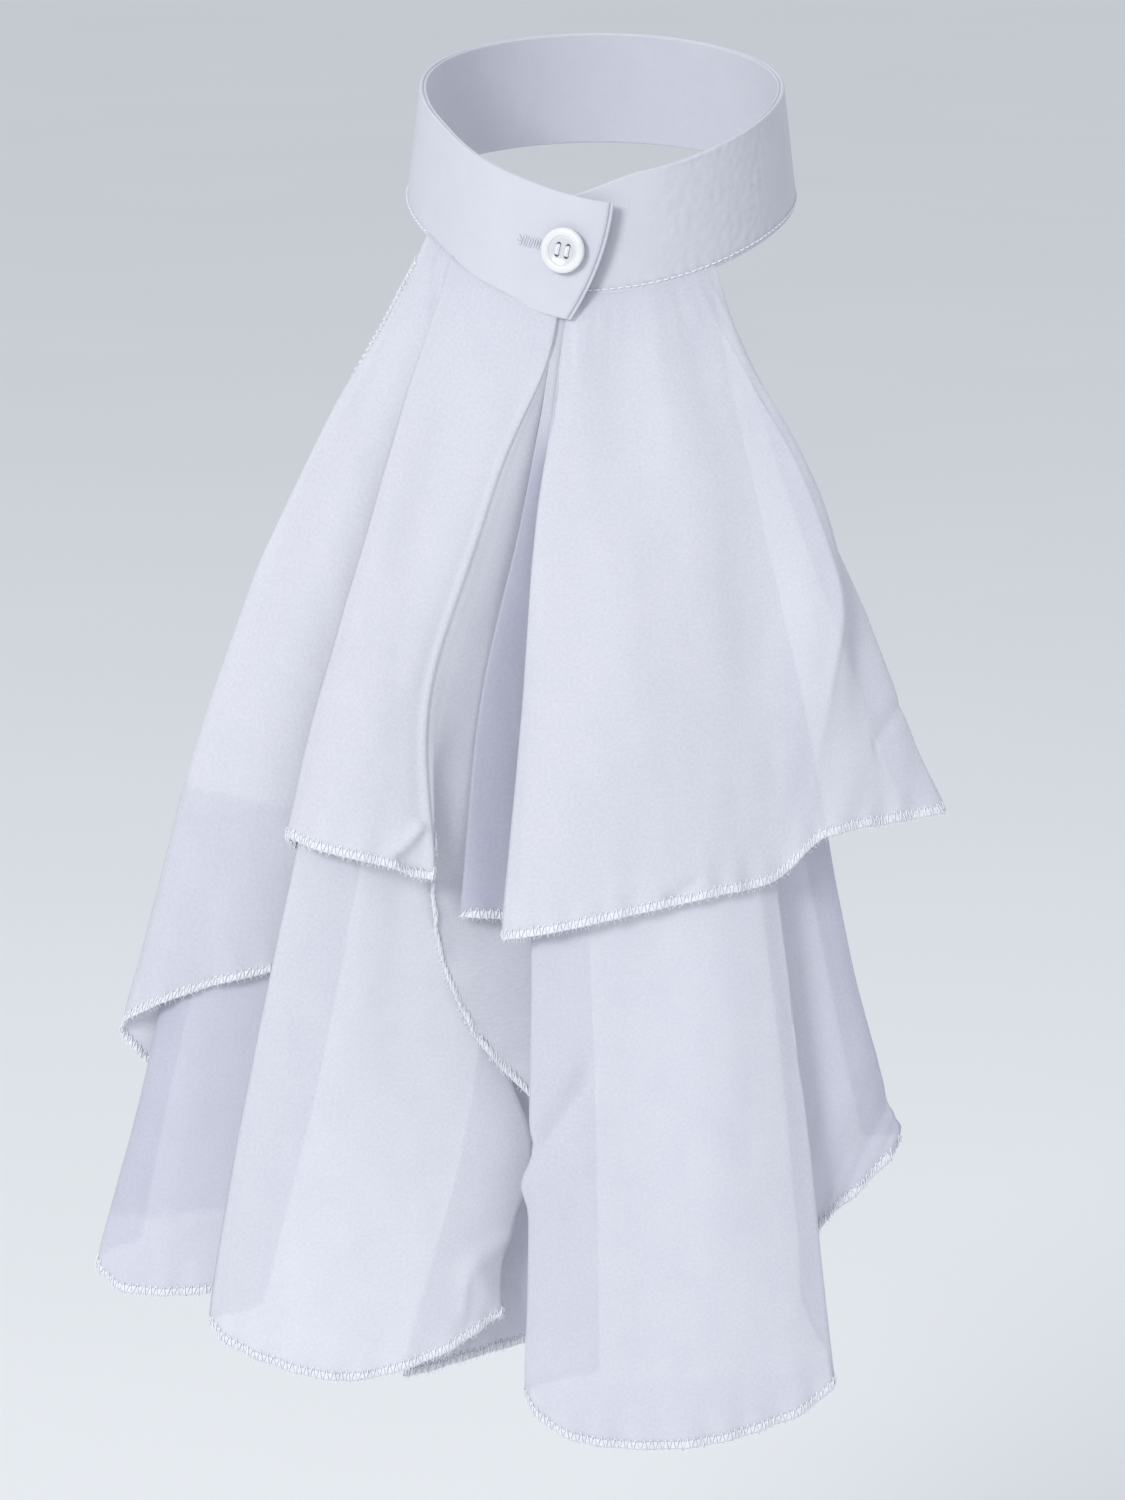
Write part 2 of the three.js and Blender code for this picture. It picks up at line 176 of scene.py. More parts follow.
def setShade(piece, values):  # how far painted shade darkens the material's colour at each point, from 0 to 1
    shade = piece.data.attributes.new("shade", "FLOAT", "POINT")
    shade.data.foreach_set("value", values)


def makePiece(name, verts, faces, material, uv=None):
    mesh = bpy.data.meshes.new(name)
    mesh.from_pydata([tuple(v) for v in np.asarray(verts, float)], [], faces)
    if uv is not None:
        layer = mesh.uv_layers.new(name="cloth")
        corners = np.empty(len(mesh.loops), dtype=np.int32)
        mesh.loops.foreach_get("vertex_index", corners)
        layer.data.foreach_set("uv", np.asarray(uv, float)[corners].ravel())
    mesh.polygons.foreach_set("use_smooth", [True] * len(mesh.polygons))
    mesh.materials.append(material)
    mesh.validate()
    mesh.update()
    return newObject(name, mesh)


def slab(outer, inner):  # a closed slab between two grids (columns, rows, 3)
    columns, rows = outer.shape[:2]
    count = columns * rows
    number = np.arange(count).reshape(columns, rows)
    a, b, c, d = number[:-1, :-1], number[1:, :-1], number[1:, 1:], number[:-1, 1:]
    front = np.stack([a, b, c, d], -1).reshape(-1, 4)
    back = np.stack([a, d, c, b], -1).reshape(-1, 4) + count
    ring = np.concatenate([number[:-1, 0], number[-1, :-1], number[:0:-1, -1], number[0, :0:-1]])
    following = np.roll(ring, -1)
    rim = np.stack([following, ring, ring + count, following + count], -1)
    faces = np.concatenate([front, back, rim]).tolist()
    return np.concatenate([outer.reshape(-1, 3), inner.reshape(-1, 3)]), faces


def gridNormals(middle):
    return unit(np.cross(np.gradient(middle, axis=0), np.gradient(middle, axis=1)))


def clothUv(middle):  # metres along the cloth, so that a weave keeps its size
    across = np.linalg.norm(np.diff(middle, axis=0), axis=-1)
    down = np.linalg.norm(np.diff(middle, axis=1), axis=-1)
    u = np.concatenate([np.zeros((1, middle.shape[1])), np.cumsum(across, 0)])
    v = np.concatenate([np.zeros((middle.shape[0], 1)), np.cumsum(down, 1)], 1)
    u = u - u[len(u) // 2]
    return np.stack([u, v], -1).reshape(-1, 2)


def tubeFaces(count, sides):  # the faces of a tube of count rings, with both its caps
    faces = []
    for index in range(count - 1):
        for step in range(sides):
            a, b = index * sides + step, index * sides + (step + 1) % sides
            faces.append([a, b, b + sides, a + sides])
    faces.append(list(range(sides))[::-1])
    faces.append([(count - 1) * sides + step for step in range(sides)])
    return faces


def tube(points, radius, sides):
    points = np.asarray(points, float)
    ahead = np.roll(points, -1, 0) - np.roll(points, 1, 0)
    ahead[0], ahead[-1] = points[1] - points[0], points[-1] - points[-2]
    ahead = unit(ahead)
    side = Vector(ahead[0]).orthogonal().normalized()
    verts = []
    for place, direction in zip(points, ahead):
        direction = Vector(direction)
        side = (side - direction * side.dot(direction)).normalized()
        other = direction.cross(side)
        for step in range(sides):
            turn = 2 * math.pi * step / sides
            verts.append(Vector(place) + radius * (math.cos(turn) * side + math.sin(turn) * other))
    return [tuple(v) for v in verts], tubeFaces(len(points), sides)


def joined(parts):
    verts, faces = [], []
    for partVerts, partFaces in parts:
        faces += [[index + len(verts) for index in face] for face in partFaces]
        verts += [tuple(v) for v in partVerts]
    return verts, faces


# Materials

def addNode(tree, kind, links=None, values=None, **settings):  # for shader and geometry trees
    node = tree.nodes.new(kind)
    for key, value in settings.items():
        setattr(node, key, value)
    for key, value in (values or {}).items():
        node.inputs[key].default_value = value
    for key, source in (links or {}).items():
        tree.links.new(source, node.inputs[key])
    return node


def newGroup(name, inputs, outputs):
    group = bpy.data.node_groups.new(name, "ShaderNodeTree")
    for socketName, value in inputs:
        socket = group.interface.new_socket(name=socketName, in_out="INPUT", socket_type="NodeSocketFloat")
        socket.default_value = value
    for socketName in outputs:
        group.interface.new_socket(name=socketName, in_out="OUTPUT", socket_type="NodeSocketFloat")
    return group, group.nodes.new("NodeGroupInput"), group.nodes.new("NodeGroupOutput")


def mathNode(tree, operation, first, second=None, third=None):
    node = tree.nodes.new("ShaderNodeMath")
    node.operation = operation
    for index, value in enumerate((first, second, third)):
        if value is None:
            continue
        if isinstance(value, (int, float)):
            node.inputs[index].default_value = value
        else:
            tree.links.new(value, node.inputs[index])
    return node.outputs[0]


def weaveGroup():  # plain weave with crepe grain, on the cloth's own UV map in metres
    inputs = [("Thread", 0.00045), ("Grain", 0.0012), ("Slub", 0.012), ("Crepe", 0.5)]
    group, source, result = newGroup("Woven Cloth", inputs, ["Height", "Tone", "Opening"])
    uv = addNode(group, "ShaderNodeUVMap", uv_map="cloth").outputs[0]
    parts = addNode(group, "ShaderNodeSeparateXYZ", {"Vector": uv})
    waves = []
    for axis in (0, 1):
        turns = mathNode(group, "DIVIDE", parts.outputs[axis], source.outputs["Thread"])
        waves.append(mathNode(group, "SINE", mathNode(group, "MULTIPLY", turns, 2 * math.pi)))
    over = mathNode(group, "MULTIPLY", waves[0], waves[1])
    weave = mathNode(group, "MULTIPLY_ADD", over, 0.5, 0.5)
    noises = []
    for size, detail in (("Grain", 2.0), ("Slub", 3.0)):
        finer = mathNode(group, "DIVIDE", 1.0, source.outputs[size])
        scaled = addNode(group, "ShaderNodeVectorMath", {"Vector": uv, "Scale": finer}, operation="SCALE")
        texture = addNode(group, "ShaderNodeTexNoise", {"Vector": scaled.outputs[0]},
                          {"Scale": 1.0, "Detail": detail, "Roughness": 0.6})
        noises.append(texture.outputs[0])
    grain = mathNode(group, "MULTIPLY", noises[0], source.outputs["Crepe"])
    height = mathNode(group, "MULTIPLY_ADD", weave, 0.35, grain)
    tone = mathNode(group, "MULTIPLY_ADD", noises[0], 0.55, mathNode(group, "MULTIPLY", noises[1], 0.45))
    opening = mathNode(group, "MULTIPLY_ADD", noises[0], 0.5, mathNode(group, "MULTIPLY", weave, 0.5))
    for name, value in (("Height", height), ("Tone", tone), ("Opening", opening)):
        group.links.new(value, result.inputs[name])
    return group


wovenCloth = weaveGroup()
noiseSpan = (0.3, 0.7)  # nearly all of a noise lies between these


def newMaterial(name):
    material = bpy.data.materials.new(name)
    material.use_nodes = True
    tree = material.node_tree
    shader = tree.nodes["Principled BSDF"]
    return material, tree, shader


def objectNoise(tree, scale, detail):
    place = tree.nodes.new("ShaderNodeTexCoord").outputs["Object"]
    texture = addNode(tree, "ShaderNodeTexNoise", {"Vector": place}, {"Scale": scale, "Detail": detail})
    return texture.outputs[0]


def colourBetween(tree, mask, dark, light):
    ramps = addNode(tree, "ShaderNodeValToRGB", {"Fac": mask})
    for element, place, colour in zip(ramps.color_ramp.elements, noiseSpan, (dark, light)):
        element.position = place
        element.color = (*colour, 1)
    return ramps.outputs[0]


def mapped(tree, mask, span, results):
    values = {"From Min": span[0], "From Max": span[1], "To Min": results[0], "To Max": results[1]}
    return addNode(tree, "ShaderNodeMapRange", {"Value": mask}, values).outputs[0]


def bumped(tree, shader, height, strength, distance):
    bump = addNode(tree, "ShaderNodeBump", {"Height": height}, {"Strength": strength, "Distance": distance})
    tree.links.new(bump.outputs[0], shader.inputs["Normal"])


def shaded(tree, colour, factor):  # paints shade: multiplies a colour by a factor, as far as the piece's shade attribute says
    shade = addNode(tree, "ShaderNodeAttribute", attribute_name="shade")
    mix = addNode(tree, "ShaderNodeMix", data_type="RGBA", blend_type="MULTIPLY")
    sockets = {socket.identifier: socket for socket in mix.inputs}
    sockets["B_Color"].default_value = (*factor, 1)
    tree.links.new(shade.outputs["Fac"], sockets["Factor_Float"])
    tree.links.new(colour, sockets["A_Color"])
    return [socket for socket in mix.outputs if socket.identifier == "Result_Color"][0]


def clothMaterial(name, look):
    material, tree, shader = newMaterial(name)
    sizes = {key: look[key] for key in ("Thread", "Grain", "Slub", "Crepe")}
    weave = addNode(tree, "ShaderNodeGroup", values=sizes, node_tree=wovenCloth)
    tone = weave.outputs["Tone"]
    colour = shaded(tree, colourBetween(tree, tone, look["dark"], look["light"]), look["paintedShade"])
    tree.links.new(colour, shader.inputs["Base Color"])
    tree.links.new(mapped(tree, tone, noiseSpan, look["roughness"]), shader.inputs["Roughness"])
    if "alpha" in look:
        alpha = mapped(tree, weave.outputs["Opening"], look["openings"], look["alpha"])
        tree.links.new(alpha, shader.inputs["Alpha"])
    bumped(tree, shader, weave.outputs["Height"], look["bump"], look["bumpDistance"])
    shader.inputs["Sheen Weight"].default_value = look["sheen"]
    shader.inputs["Sheen Roughness"].default_value = 0.4
    shader.inputs["Specular IOR Level"].default_value = look["specular"]
    return material


chiffonLook = {
    "Thread": 0.00045, "Grain": 0.0011, "Slub": 0.016, "Crepe": 0.7,
    "dark": (0.75, 0.76, 0.837), "light": (0.805, 0.815, 0.873),
    "roughness": (0.75, 0.9), "openings": (0.2, 0.8), "alpha": (0.58, 0.74),
    "bump": 0.35, "bumpDistance": 0.0003, "sheen": 0.15, "specular": 0.25,
    "paintedShade": (0.64, 0.64, 0.74),  # painted shade: what the colour is multiplied by where the shade attribute says, in deep pleats, under the band and where layers lie together
}
bandLook = {
    "Thread": 0.0004, "Grain": 0.0009, "Slub": 0.01, "Crepe": 0.45,
    "dark": (0.567, 0.576, 0.645), "light": (0.613, 0.622, 0.684),
    "roughness": (0.7, 0.85), "bump": 0.3, "bumpDistance": 0.0002, "sheen": 0.1, "specular": 0.3,
    # painted shade: what the colour is multiplied by in the pressed seam's groove and along the topstitching
    "paintedShade": (0.62, 0.62, 0.7),
}
chiffon = clothMaterial("white chiffon", chiffonLook)
bandCloth = clothMaterial("white double cloth", bandLook)


threadLook = {
    "strands": 2600.0,  # scale of the noise that stands for them
    "darkest": 0.88,  # share of the colour between strands
    "roughness": (0.55, 0.8),
    "bump": 0.4,
    "bumpDistance": 0.0001,
}


def threadMaterial(name, colour, fuzz):
    material, tree, shader = newMaterial(name)
    strands = objectNoise(tree, threadLook["strands"], 2.0)
    dark = tuple(threadLook["darkest"] * part for part in colour)
    tree.links.new(colourBetween(tree, strands, dark, colour), shader.inputs["Base Color"])
    tree.links.new(mapped(tree, strands, noiseSpan, threadLook["roughness"]), shader.inputs["Roughness"])
    bumped(tree, shader, strands, threadLook["bump"], threadLook["bumpDistance"])
    shader.inputs["Sheen Weight"].default_value = fuzz
    return material


hemThread = threadMaterial("overlock thread", (0.9, 0.915, 0.96), 0.4)
sewingThread = threadMaterial("sewing thread", (0.88, 0.89, 0.94), 0.2)
# painted shade: the buttonhole's white thread is greyed for the shade among its stitches
shadedHoleThread = threadMaterial("band thread", (0.66, 0.67, 0.74), 0.1)
hemGround = threadMaterial("overlock ground", (0.83, 0.845, 0.92), 0.2)

resinLook = {
    "clouds": 260.0,
    "dark": (0.72, 0.735, 0.745),
    "light": (0.77, 0.78, 0.79),
    "dish": (0.82, 0.82, 0.85),  # painted shade: what the colour is multiplied by in the dish
    "roughness": (0.12, 0.2),
    "bump": 0.05,
    "bumpDistance": 0.0001,
    "coat": 0.3,
}


def buttonMaterial():
    material, tree, shader = newMaterial("polished white resin")
    cloud = objectNoise(tree, resinLook["clouds"], 4.0)
    clouded = colourBetween(tree, cloud, resinLook["dark"], resinLook["light"])
    tree.links.new(shaded(tree, clouded, resinLook["dish"]), shader.inputs["Base Color"])
    tree.links.new(mapped(tree, cloud, noiseSpan, resinLook["roughness"]), shader.inputs["Roughness"])
    bumped(tree, shader, cloud, resinLook["bump"], resinLook["bumpDistance"])
    shader.inputs["Coat Weight"].default_value = resinLook["coat"]
    return material


resin = buttonMaterial()
print("materials made")


# Geometry Nodes

def newTree(name, inputs):
    tree = bpy.data.node_groups.new(name, "GeometryNodeTree")
    tree.interface.new_socket(name="Geometry", in_out="INPUT", socket_type="NodeSocketGeometry")
    for socketName, kind, value in inputs:
        socket = tree.interface.new_socket(name=socketName, in_out="INPUT", socket_type=kind)
        if value is not None:
            socket.default_value = value
    tree.interface.new_socket(name="Geometry", in_out="OUTPUT", socket_type="NodeSocketGeometry")
    return tree, tree.nodes.new("NodeGroupInput"), tree.nodes.new("NodeGroupOutput")


def namedVector(tree, name):
    node = addNode(tree, "GeometryNodeInputNamedAttribute", data_type="FLOAT_VECTOR")
    node.inputs["Name"].default_value = name
    return node.outputs[0]


def endTree(tree, source, result, geometry):
    real = addNode(tree, "GeometryNodeRealizeInstances", {"Geometry": geometry})
    ends = {"Geometry": real.outputs[0], "Material": source.outputs["Material"]}
    finish = addNode(tree, "GeometryNodeSetMaterial", ends)
    tree.links.new(finish.outputs[0], result.inputs[0])


def threadAlong(tree, source, curve, sides):  # a thread of the named radius along a curve
    radius = {"Radius": source.outputs["Thread Radius"]}
    section = addNode(tree, "GeometryNodeCurvePrimitiveCircle", radius, {"Resolution": sides})
    curves = {"Curve": curve, "Profile Curve": section.outputs[0]}
    return addNode(tree, "GeometryNodeCurveToMesh", curves, {"Fill Caps": True}).outputs[0]


def evenPath(tree, source, step):
    path = addNode(tree, "GeometryNodeMeshToCurve", {"Mesh": source.outputs["Geometry"]})
    return addNode(tree, "GeometryNodeResampleCurve", {"Curve": path.outputs[0], "Length": step},
                   mode="LENGTH").outputs[0]


def windingTree():  # a thread wound round an edge, as an overlock or a buttonhole is sewn
    kind = "NodeSocketFloat"
    tree, source, result = newTree("Wound Thread", [
        ("Pitch", kind, 0.0012), ("Reach", kind, 0.0012), ("Lift", kind, 0.0005),
        ("Thread Radius", kind, 0.0002), ("Unevenness", kind, 0.25), ("Seed", kind, 3.0),
        ("Material", "NodeSocketMaterial", None)])
    pitch = source.outputs["Pitch"]
    even = evenPath(tree, source, mathNode(tree, "DIVIDE", pitch, 8.0))
    along = addNode(tree, "GeometryNodeSplineParameter").outputs["Length"]
    turn = mathNode(tree, "MULTIPLY", mathNode(tree, "DIVIDE", along, pitch), 2 * math.pi)
    place = mathNode(tree, "MULTIPLY_ADD", along, 900.0, source.outputs["Seed"])
    wobble = addNode(tree, "ShaderNodeTexNoise", values={"Scale": 1.0, "Detail": 1.0}, noise_dimensions="1D")
    tree.links.new(place, wobble.inputs["W"])
    uneven = mathNode(tree, "MULTIPLY", mathNode(tree, "SUBTRACT", wobble.outputs[0], 0.5), 2.0)
    size = mathNode(tree, "MULTIPLY_ADD", uneven, source.outputs["Unevenness"], 1.0)
    both = addNode(tree, "ShaderNodeVectorMath", operation="ADD")
    waves = (("into", "Reach", "COSINE"), ("face", "Lift", "SINE"))
    for index, (attribute, reach, wave) in enumerate(waves):
        amount = mathNode(tree, "MULTIPLY", mathNode(tree, wave, turn), source.outputs[reach])
        vectors = {"Vector": namedVector(tree, attribute), "Scale": mathNode(tree, "MULTIPLY", amount, size)}
        scaled = addNode(tree, "ShaderNodeVectorMath", vectors, operation="SCALE")
        tree.links.new(scaled.outputs[0], both.inputs[index])
    wound = addNode(tree, "GeometryNodeSetPosition", {"Geometry": even, "Offset": both.outputs[0]})
    endTree(tree, source, result, threadAlong(tree, source, wound.outputs[0], 3))
    return tree


def stitchTree():  # separate stitches laid end to end on a seam line
    kind = "NodeSocketFloat"
    tree, source, result = newTree("Stitch Row", [
        ("Pitch", kind, 0.0024), ("Stitch Length", kind, 0.0019), ("Bow", kind, 0.0003),
        ("Thread Radius", kind, 0.0002), ("Tilt", kind, 0.12), ("Seed", "NodeSocketInt", 5),
        ("Material", "NodeSocketMaterial", None)])
    half = mathNode(tree, "MULTIPLY", source.outputs["Stitch Length"], 0.5)
    start, end = (addNode(tree, "ShaderNodeCombineXYZ", {"X": mathNode(tree, "MULTIPLY", half, sign)})
                  for sign in (-1.0, 1.0))
    twice = mathNode(tree, "MULTIPLY", source.outputs["Bow"], 2.0)
    top = addNode(tree, "ShaderNodeCombineXYZ", {"Z": twice})
    corners = {"Start": start.outputs[0], "Middle": top.outputs[0], "End": end.outputs[0]}
    bow = addNode(tree, "GeometryNodeCurveQuadraticBezier", corners, {"Resolution": 5})
    stitch = threadAlong(tree, source, bow.outputs[0], 6)
    even = evenPath(tree, source, source.outputs["Pitch"])
    align = "FunctionNodeAlignRotationToVector"
    aimed = addNode(tree, align, {"Vector": namedVector(tree, "along")}, axis="X")
    faced = addNode(tree, align, {"Rotation": aimed.outputs[0], "Vector": namedVector(tree, "face")},
                    axis="Z", pivot_axis="X")
    spin = addNode(tree, "FunctionNodeRandomValue", {"Seed": source.outputs["Seed"]}, data_type="FLOAT")
    lowest, highest = [socket for socket in spin.inputs if socket.type == "VALUE"][:2]
    tree.links.new(mathNode(tree, "MULTIPLY", source.outputs["Tilt"], -1.0), lowest)
    tree.links.new(source.outputs["Tilt"], highest)
    value = [socket for socket in spin.outputs if socket.type == "VALUE"][0]
    twist = addNode(tree, "ShaderNodeCombineXYZ", {"Z": value})
    turned = addNode(tree, "FunctionNodeRotateRotation", {"Rotation": faced.outputs[0]},
                     rotation_space="LOCAL")
    tree.links.new(twist.outputs[0], turned.inputs[1])
    row = {"Points": even, "Instance": stitch, "Rotation": turned.outputs[0]}
    placed = addNode(tree, "GeometryNodeInstanceOnPoints", row)
    endTree(tree, source, result, placed.outputs[0])
    return tree


def sewn(name, tree, path, vectors, inputs, material):  # runs a tree along a path and keeps its mesh
    edges = [(index, index + 1) for index in range(len(path) - 1)]
    mesh = bpy.data.meshes.new(name + " path")
    mesh.from_pydata([tuple(point) for point in path], edges, [])
    for key, values in vectors.items():
        attribute = mesh.attributes.new(key, "FLOAT_VECTOR", "POINT")
        attribute.data.foreach_set("vector", np.asarray(values, float).ravel())
    guide = newObject(name + " guide", mesh)
    modifier = guide.modifiers.new("sewing", "NODES")
    modifier.node_group = tree
    for item in tree.interface.items_tree:
        if item.in_out == "INPUT" and item.name in inputs:
            modifier[item.identifier] = inputs[item.name]
        if item.in_out == "INPUT" and item.name == "Material":
            modifier[item.identifier] = material
    depsgraph = bpy.context.evaluated_depsgraph_get()
    result = bpy.data.meshes.new_from_object(guide.evaluated_get(depsgraph), depsgraph=depsgraph)
    result.polygons.foreach_set("use_smooth", [True] * len(result.polygons))
    bpy.data.objects.remove(guide)
    bpy.data.meshes.remove(mesh)
    if not result.materials:
        result.materials.append(material)
    result.name = name
    return newObject(name, result)


woundThread = windingTree()
stitchRow = stitchTree()


# Neckband

def edgeSpacing(count, length, edge):  # shares from 0 to 1, close together near both ends
    near = np.array([0, 0.08, 0.3, 0.62, 1.0, 1.35, 1.6, 1.85, 2.1, 2.4]) * edge / length
    middle = np.linspace(near[-1], 1 - near[-1], count)
    return np.concatenate([near[:-1], middle, (1 - near[:-1])[::-1]])


def bandPly(grid, centre, thickness, inset=0.0, pucker=0.0):  # outer and inner grid, cloth map, shade
    height, radius = band["height"], band["halfDepth"]
    around = edgeSpacing(grid[0], band["length"], band["edgeRound"])
    share, rise = np.meshgrid(around, edgeSpacing(grid[1], height, band["edgeRound"]), indexing="ij")
    risen = inset / height + rise * (1 - 2 * inset / height)
    insetTurn = math.degrees(inset / radius)
    start = band["underEnd"] + insetTurn
    end = band["overEndBottom"] + (band["overEndTop"] - band["overEndBottom"]) * risen - insetTurn
    end = end + band["overEndBow"] * 4 * risen * (1 - risen)
    angle = start + (end - start) * share
    toEdge = np.minimum(np.minimum(share, 1 - share) * band["length"], np.minimum(rise, 1 - rise) * height)
    edgeShare = np.clip(toEdge / band["edgeRound"], 0, 1)
    half = thickness / 2 * np.sqrt(np.clip(1 - (1 - edgeShare) ** 2, 0, 1))
    along = angle * math.radians(1) * radius
    toEnd = (end - angle) * math.radians(1) * radius
    aboveEdge = risen * height
    wave = np.sin(along * 2 * math.pi / band["puckerLength"]) * (1 - ramp(angle, *band["puckerEnds"]))
    wave = wave * np.exp(-np.abs(aboveEdge - band["puckerHeight"]) / band["puckerReach"])
    offEdges = np.sin(math.pi * risen)
    soft = noiseOver(along, risen, band["softScale"], 4.0) * offEdges
    crease = bell(angle, band["creaseAngle"] + band["creaseSlant"] * risen, band["creaseWidth"]) * offEdges
    depth = centre + pucker * wave + 3 * pucker * soft - band["creaseDepth"] * crease
    if pucker:  # the face alone is crumpled and shows its pressed seam
        fine = noiseOver(along, risen, band["crumpleScale"], 9.0)
        fine = fine * ramp(angle, *band["crumpleStarts"]) * (1 - ramp(angle, *band["crumpleEnds"]))
        depth = depth + band["crumple"] * fine
        depth = depth - band["plyDepth"] * bell(toEnd, band["plyLine"], band["plyWidth"])
    outer = bandPoint(angle, risen, depth + half)
    inner = bandPoint(angle, risen, depth - half)
    # painted shade in the pressed seam's groove by the over-end's edge and in a line along the topstitching
    seamShade = band["plyShade"] * bell(toEnd, band["plyLine"], 1.25 * band["plyWidth"]) * ramp(rise, 0.0, 0.03)
    stitchLineShade = band["stitchShade"] * bell(aboveEdge, band["stitchLine"], band["stitchWidth"])
    stitchLineShade = stitchLineShade * (angle < band["lapStart"])
    uv = np.stack([along, aboveEdge], -1).reshape(-1, 2)
    return outer, inner, uv, np.clip(seamShade + stitchLineShade, 0, 1).ravel()


fastening = {
    "angle": 349.6,
    "rise": 0.55,
    "diameter": 0.015,
    "thickness": 0.0026,
    "rimWidth": 0.0029,
    "rimCrown": 0.0008,  # height of the raised rim's rounding
    "dish": 0.001,
    "standOff": 0.0012,
    "holeDiameter": 0.0017,
    "holeSpacing": 0.0033,
    "holeLength": 0.0165,
    "slitWidth": 0.0003,
    "slitDepth": 0.0002,
    "slitPast": 0.001,  # how far the slit goes past the button's middle
    "slitFade": 0.0006,
    "slitEnd": 0.0008,  # radius of the rounded end that the stitches follow
    "threadRadius": 0.00022,
    "shankRadius": 0.0009,
}


def buttonFrame():
    angle, rise = fastening["angle"], fastening["rise"]
    seat = bandPoint(angle, rise, band["wall"])
    along = unit(bandPoint(angle + 1, rise, band["wall"]) - seat)
    up = unit(bandPoint(angle, 1.0, band["wall"]) - seat)
    out = unit(np.cross(along, up))
    return seat, along, np.cross(out, along), out


def pressedSlit(grid):  # the face with the buttonhole's slit pressed into it
    seat, along, up, out = buttonFrame()
    local = grid - seat
    x = local @ along
    toEnds = np.minimum(x + fastening["holeLength"], fastening["slitPast"] - x)
    groove = np.clip(toEnds / fastening["slitFade"], 0, 1) * bell(local @ up, 0, fastening["slitWidth"])
    onOverEnd = np.abs(local @ out) < 0.006
    return grid - (fastening["slitDepth"] * groove * onOverEnd)[..., None] * out


def makeBand():
    wall, thick, liningThick = band["wall"], band["faceThickness"], band["liningThickness"]
    outer, inner, uv, shade = bandPly(band["faceGrid"], wall - thick / 2, thick, pucker=band["pucker"])
    lining = bandPly(band["liningGrid"], liningThick / 2, liningThick, band["liningInset"])
    verts, faces = joined([slab(pressedSlit(outer), inner), slab(*lining[:2])])
    clothMap = np.concatenate([uv, uv, lining[2], lining[2]])
    cloth = makePiece("neck_band_cloth", verts, faces, bandCloth, clothMap)
    setShade(cloth, np.concatenate([shade, np.zeros(len(verts) - len(shade))]))
    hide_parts("neck_band")
    core = bandPly(band["coreGrid"], wall / 2, wall * band["coreShare"], band["coreInset"])
    coreUv = np.concatenate([core[2], core[2]])
    stiffener = makePiece("neck_band_interfacing", *slab(*core[:2]), bandCloth, coreUv)
    for piece in (cloth, stiffener):
        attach(piece, "root")
    return cloth, stiffener


bandStitch = {"Pitch": 0.0026, "Stitch Length": 0.0017, "Bow": 0.0003, "Thread Radius": 0.00025}
holeStitch = {"Pitch": 0.0009, "Reach": 0.0011, "Lift": 0.00016, "Thread Radius": 0.00016, "Seed": 11.0}


def makeBandStitches():
    angles = np.linspace(band["underEnd"] + 1.2, band["lapStart"], 700)
    rise, depth = band["stitchLine"] / band["height"], band["wall"] + 0.0001
    points = bandPoint(angles, rise, depth)
    along = unit(np.gradient(points, axis=0))
    up = unit(bandPoint(angles, rise + 0.02, depth) - points)
    vectors = {"along": along, "face": unit(np.cross(along, up))}
    return sewn("band_topstitch", stitchRow, points, vectors, bandStitch, sewingThread)


def makeButtonholeStitches():
    seat, along, up, out = buttonFrame()
    radius = fastening["slitEnd"]
    length = fastening["holeLength"] - radius
    turn = np.linspace(0.5, 1.5, 13)[1:-1, None] * math.pi
    endways = np.cos(turn) * along + np.sin(turn) * up
    shares = np.linspace(0, 1, 30)[:, None]
    top = -along * length * shares + up * radius
    bottom = -along * length * (1 - shares) - up * radius
    places = seat + np.concatenate([top, radius * endways - along * length, bottom])
    away = np.concatenate([np.repeat(up[None], 30, 0), endways, np.repeat(-up[None], 30, 0)])
    x, y = places[:, 0] / band["halfWidth"], places[:, 1] / band["halfDepth"]
    angles = np.degrees(np.arctan2(x, -y)) + 360
    onBand = bandPoint(angles, fastening["rise"], band["wall"])
    places = places + out * ((onBand - places) @ out)[:, None]
    vectors = {"into": away, "face": np.repeat(out[None], len(places), 0)}
    return sewn("buttonhole_stitches", woundThread, places, vectors, holeStitch, shadedHoleThread)


bandPiece, interfacing = makeBand()
bandStitches = makeBandStitches()
holeStitches = makeButtonholeStitches()
for piece in (bandStitches, holeStitches):
    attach(piece, "root")
print("neckband made")


# Button and its thread

def toWorld(points):
    seat, along, up, out = buttonFrame()
    points = np.asarray(points, float)
    return seat + points[:, :1] * along + points[:, 1:2] * up + points[:, 2:3] * out


def meshObject(name, bm):
    mesh = bpy.data.meshes.new(name)
    bm.to_mesh(mesh)
    bm.free()
    return newObject(name, mesh)


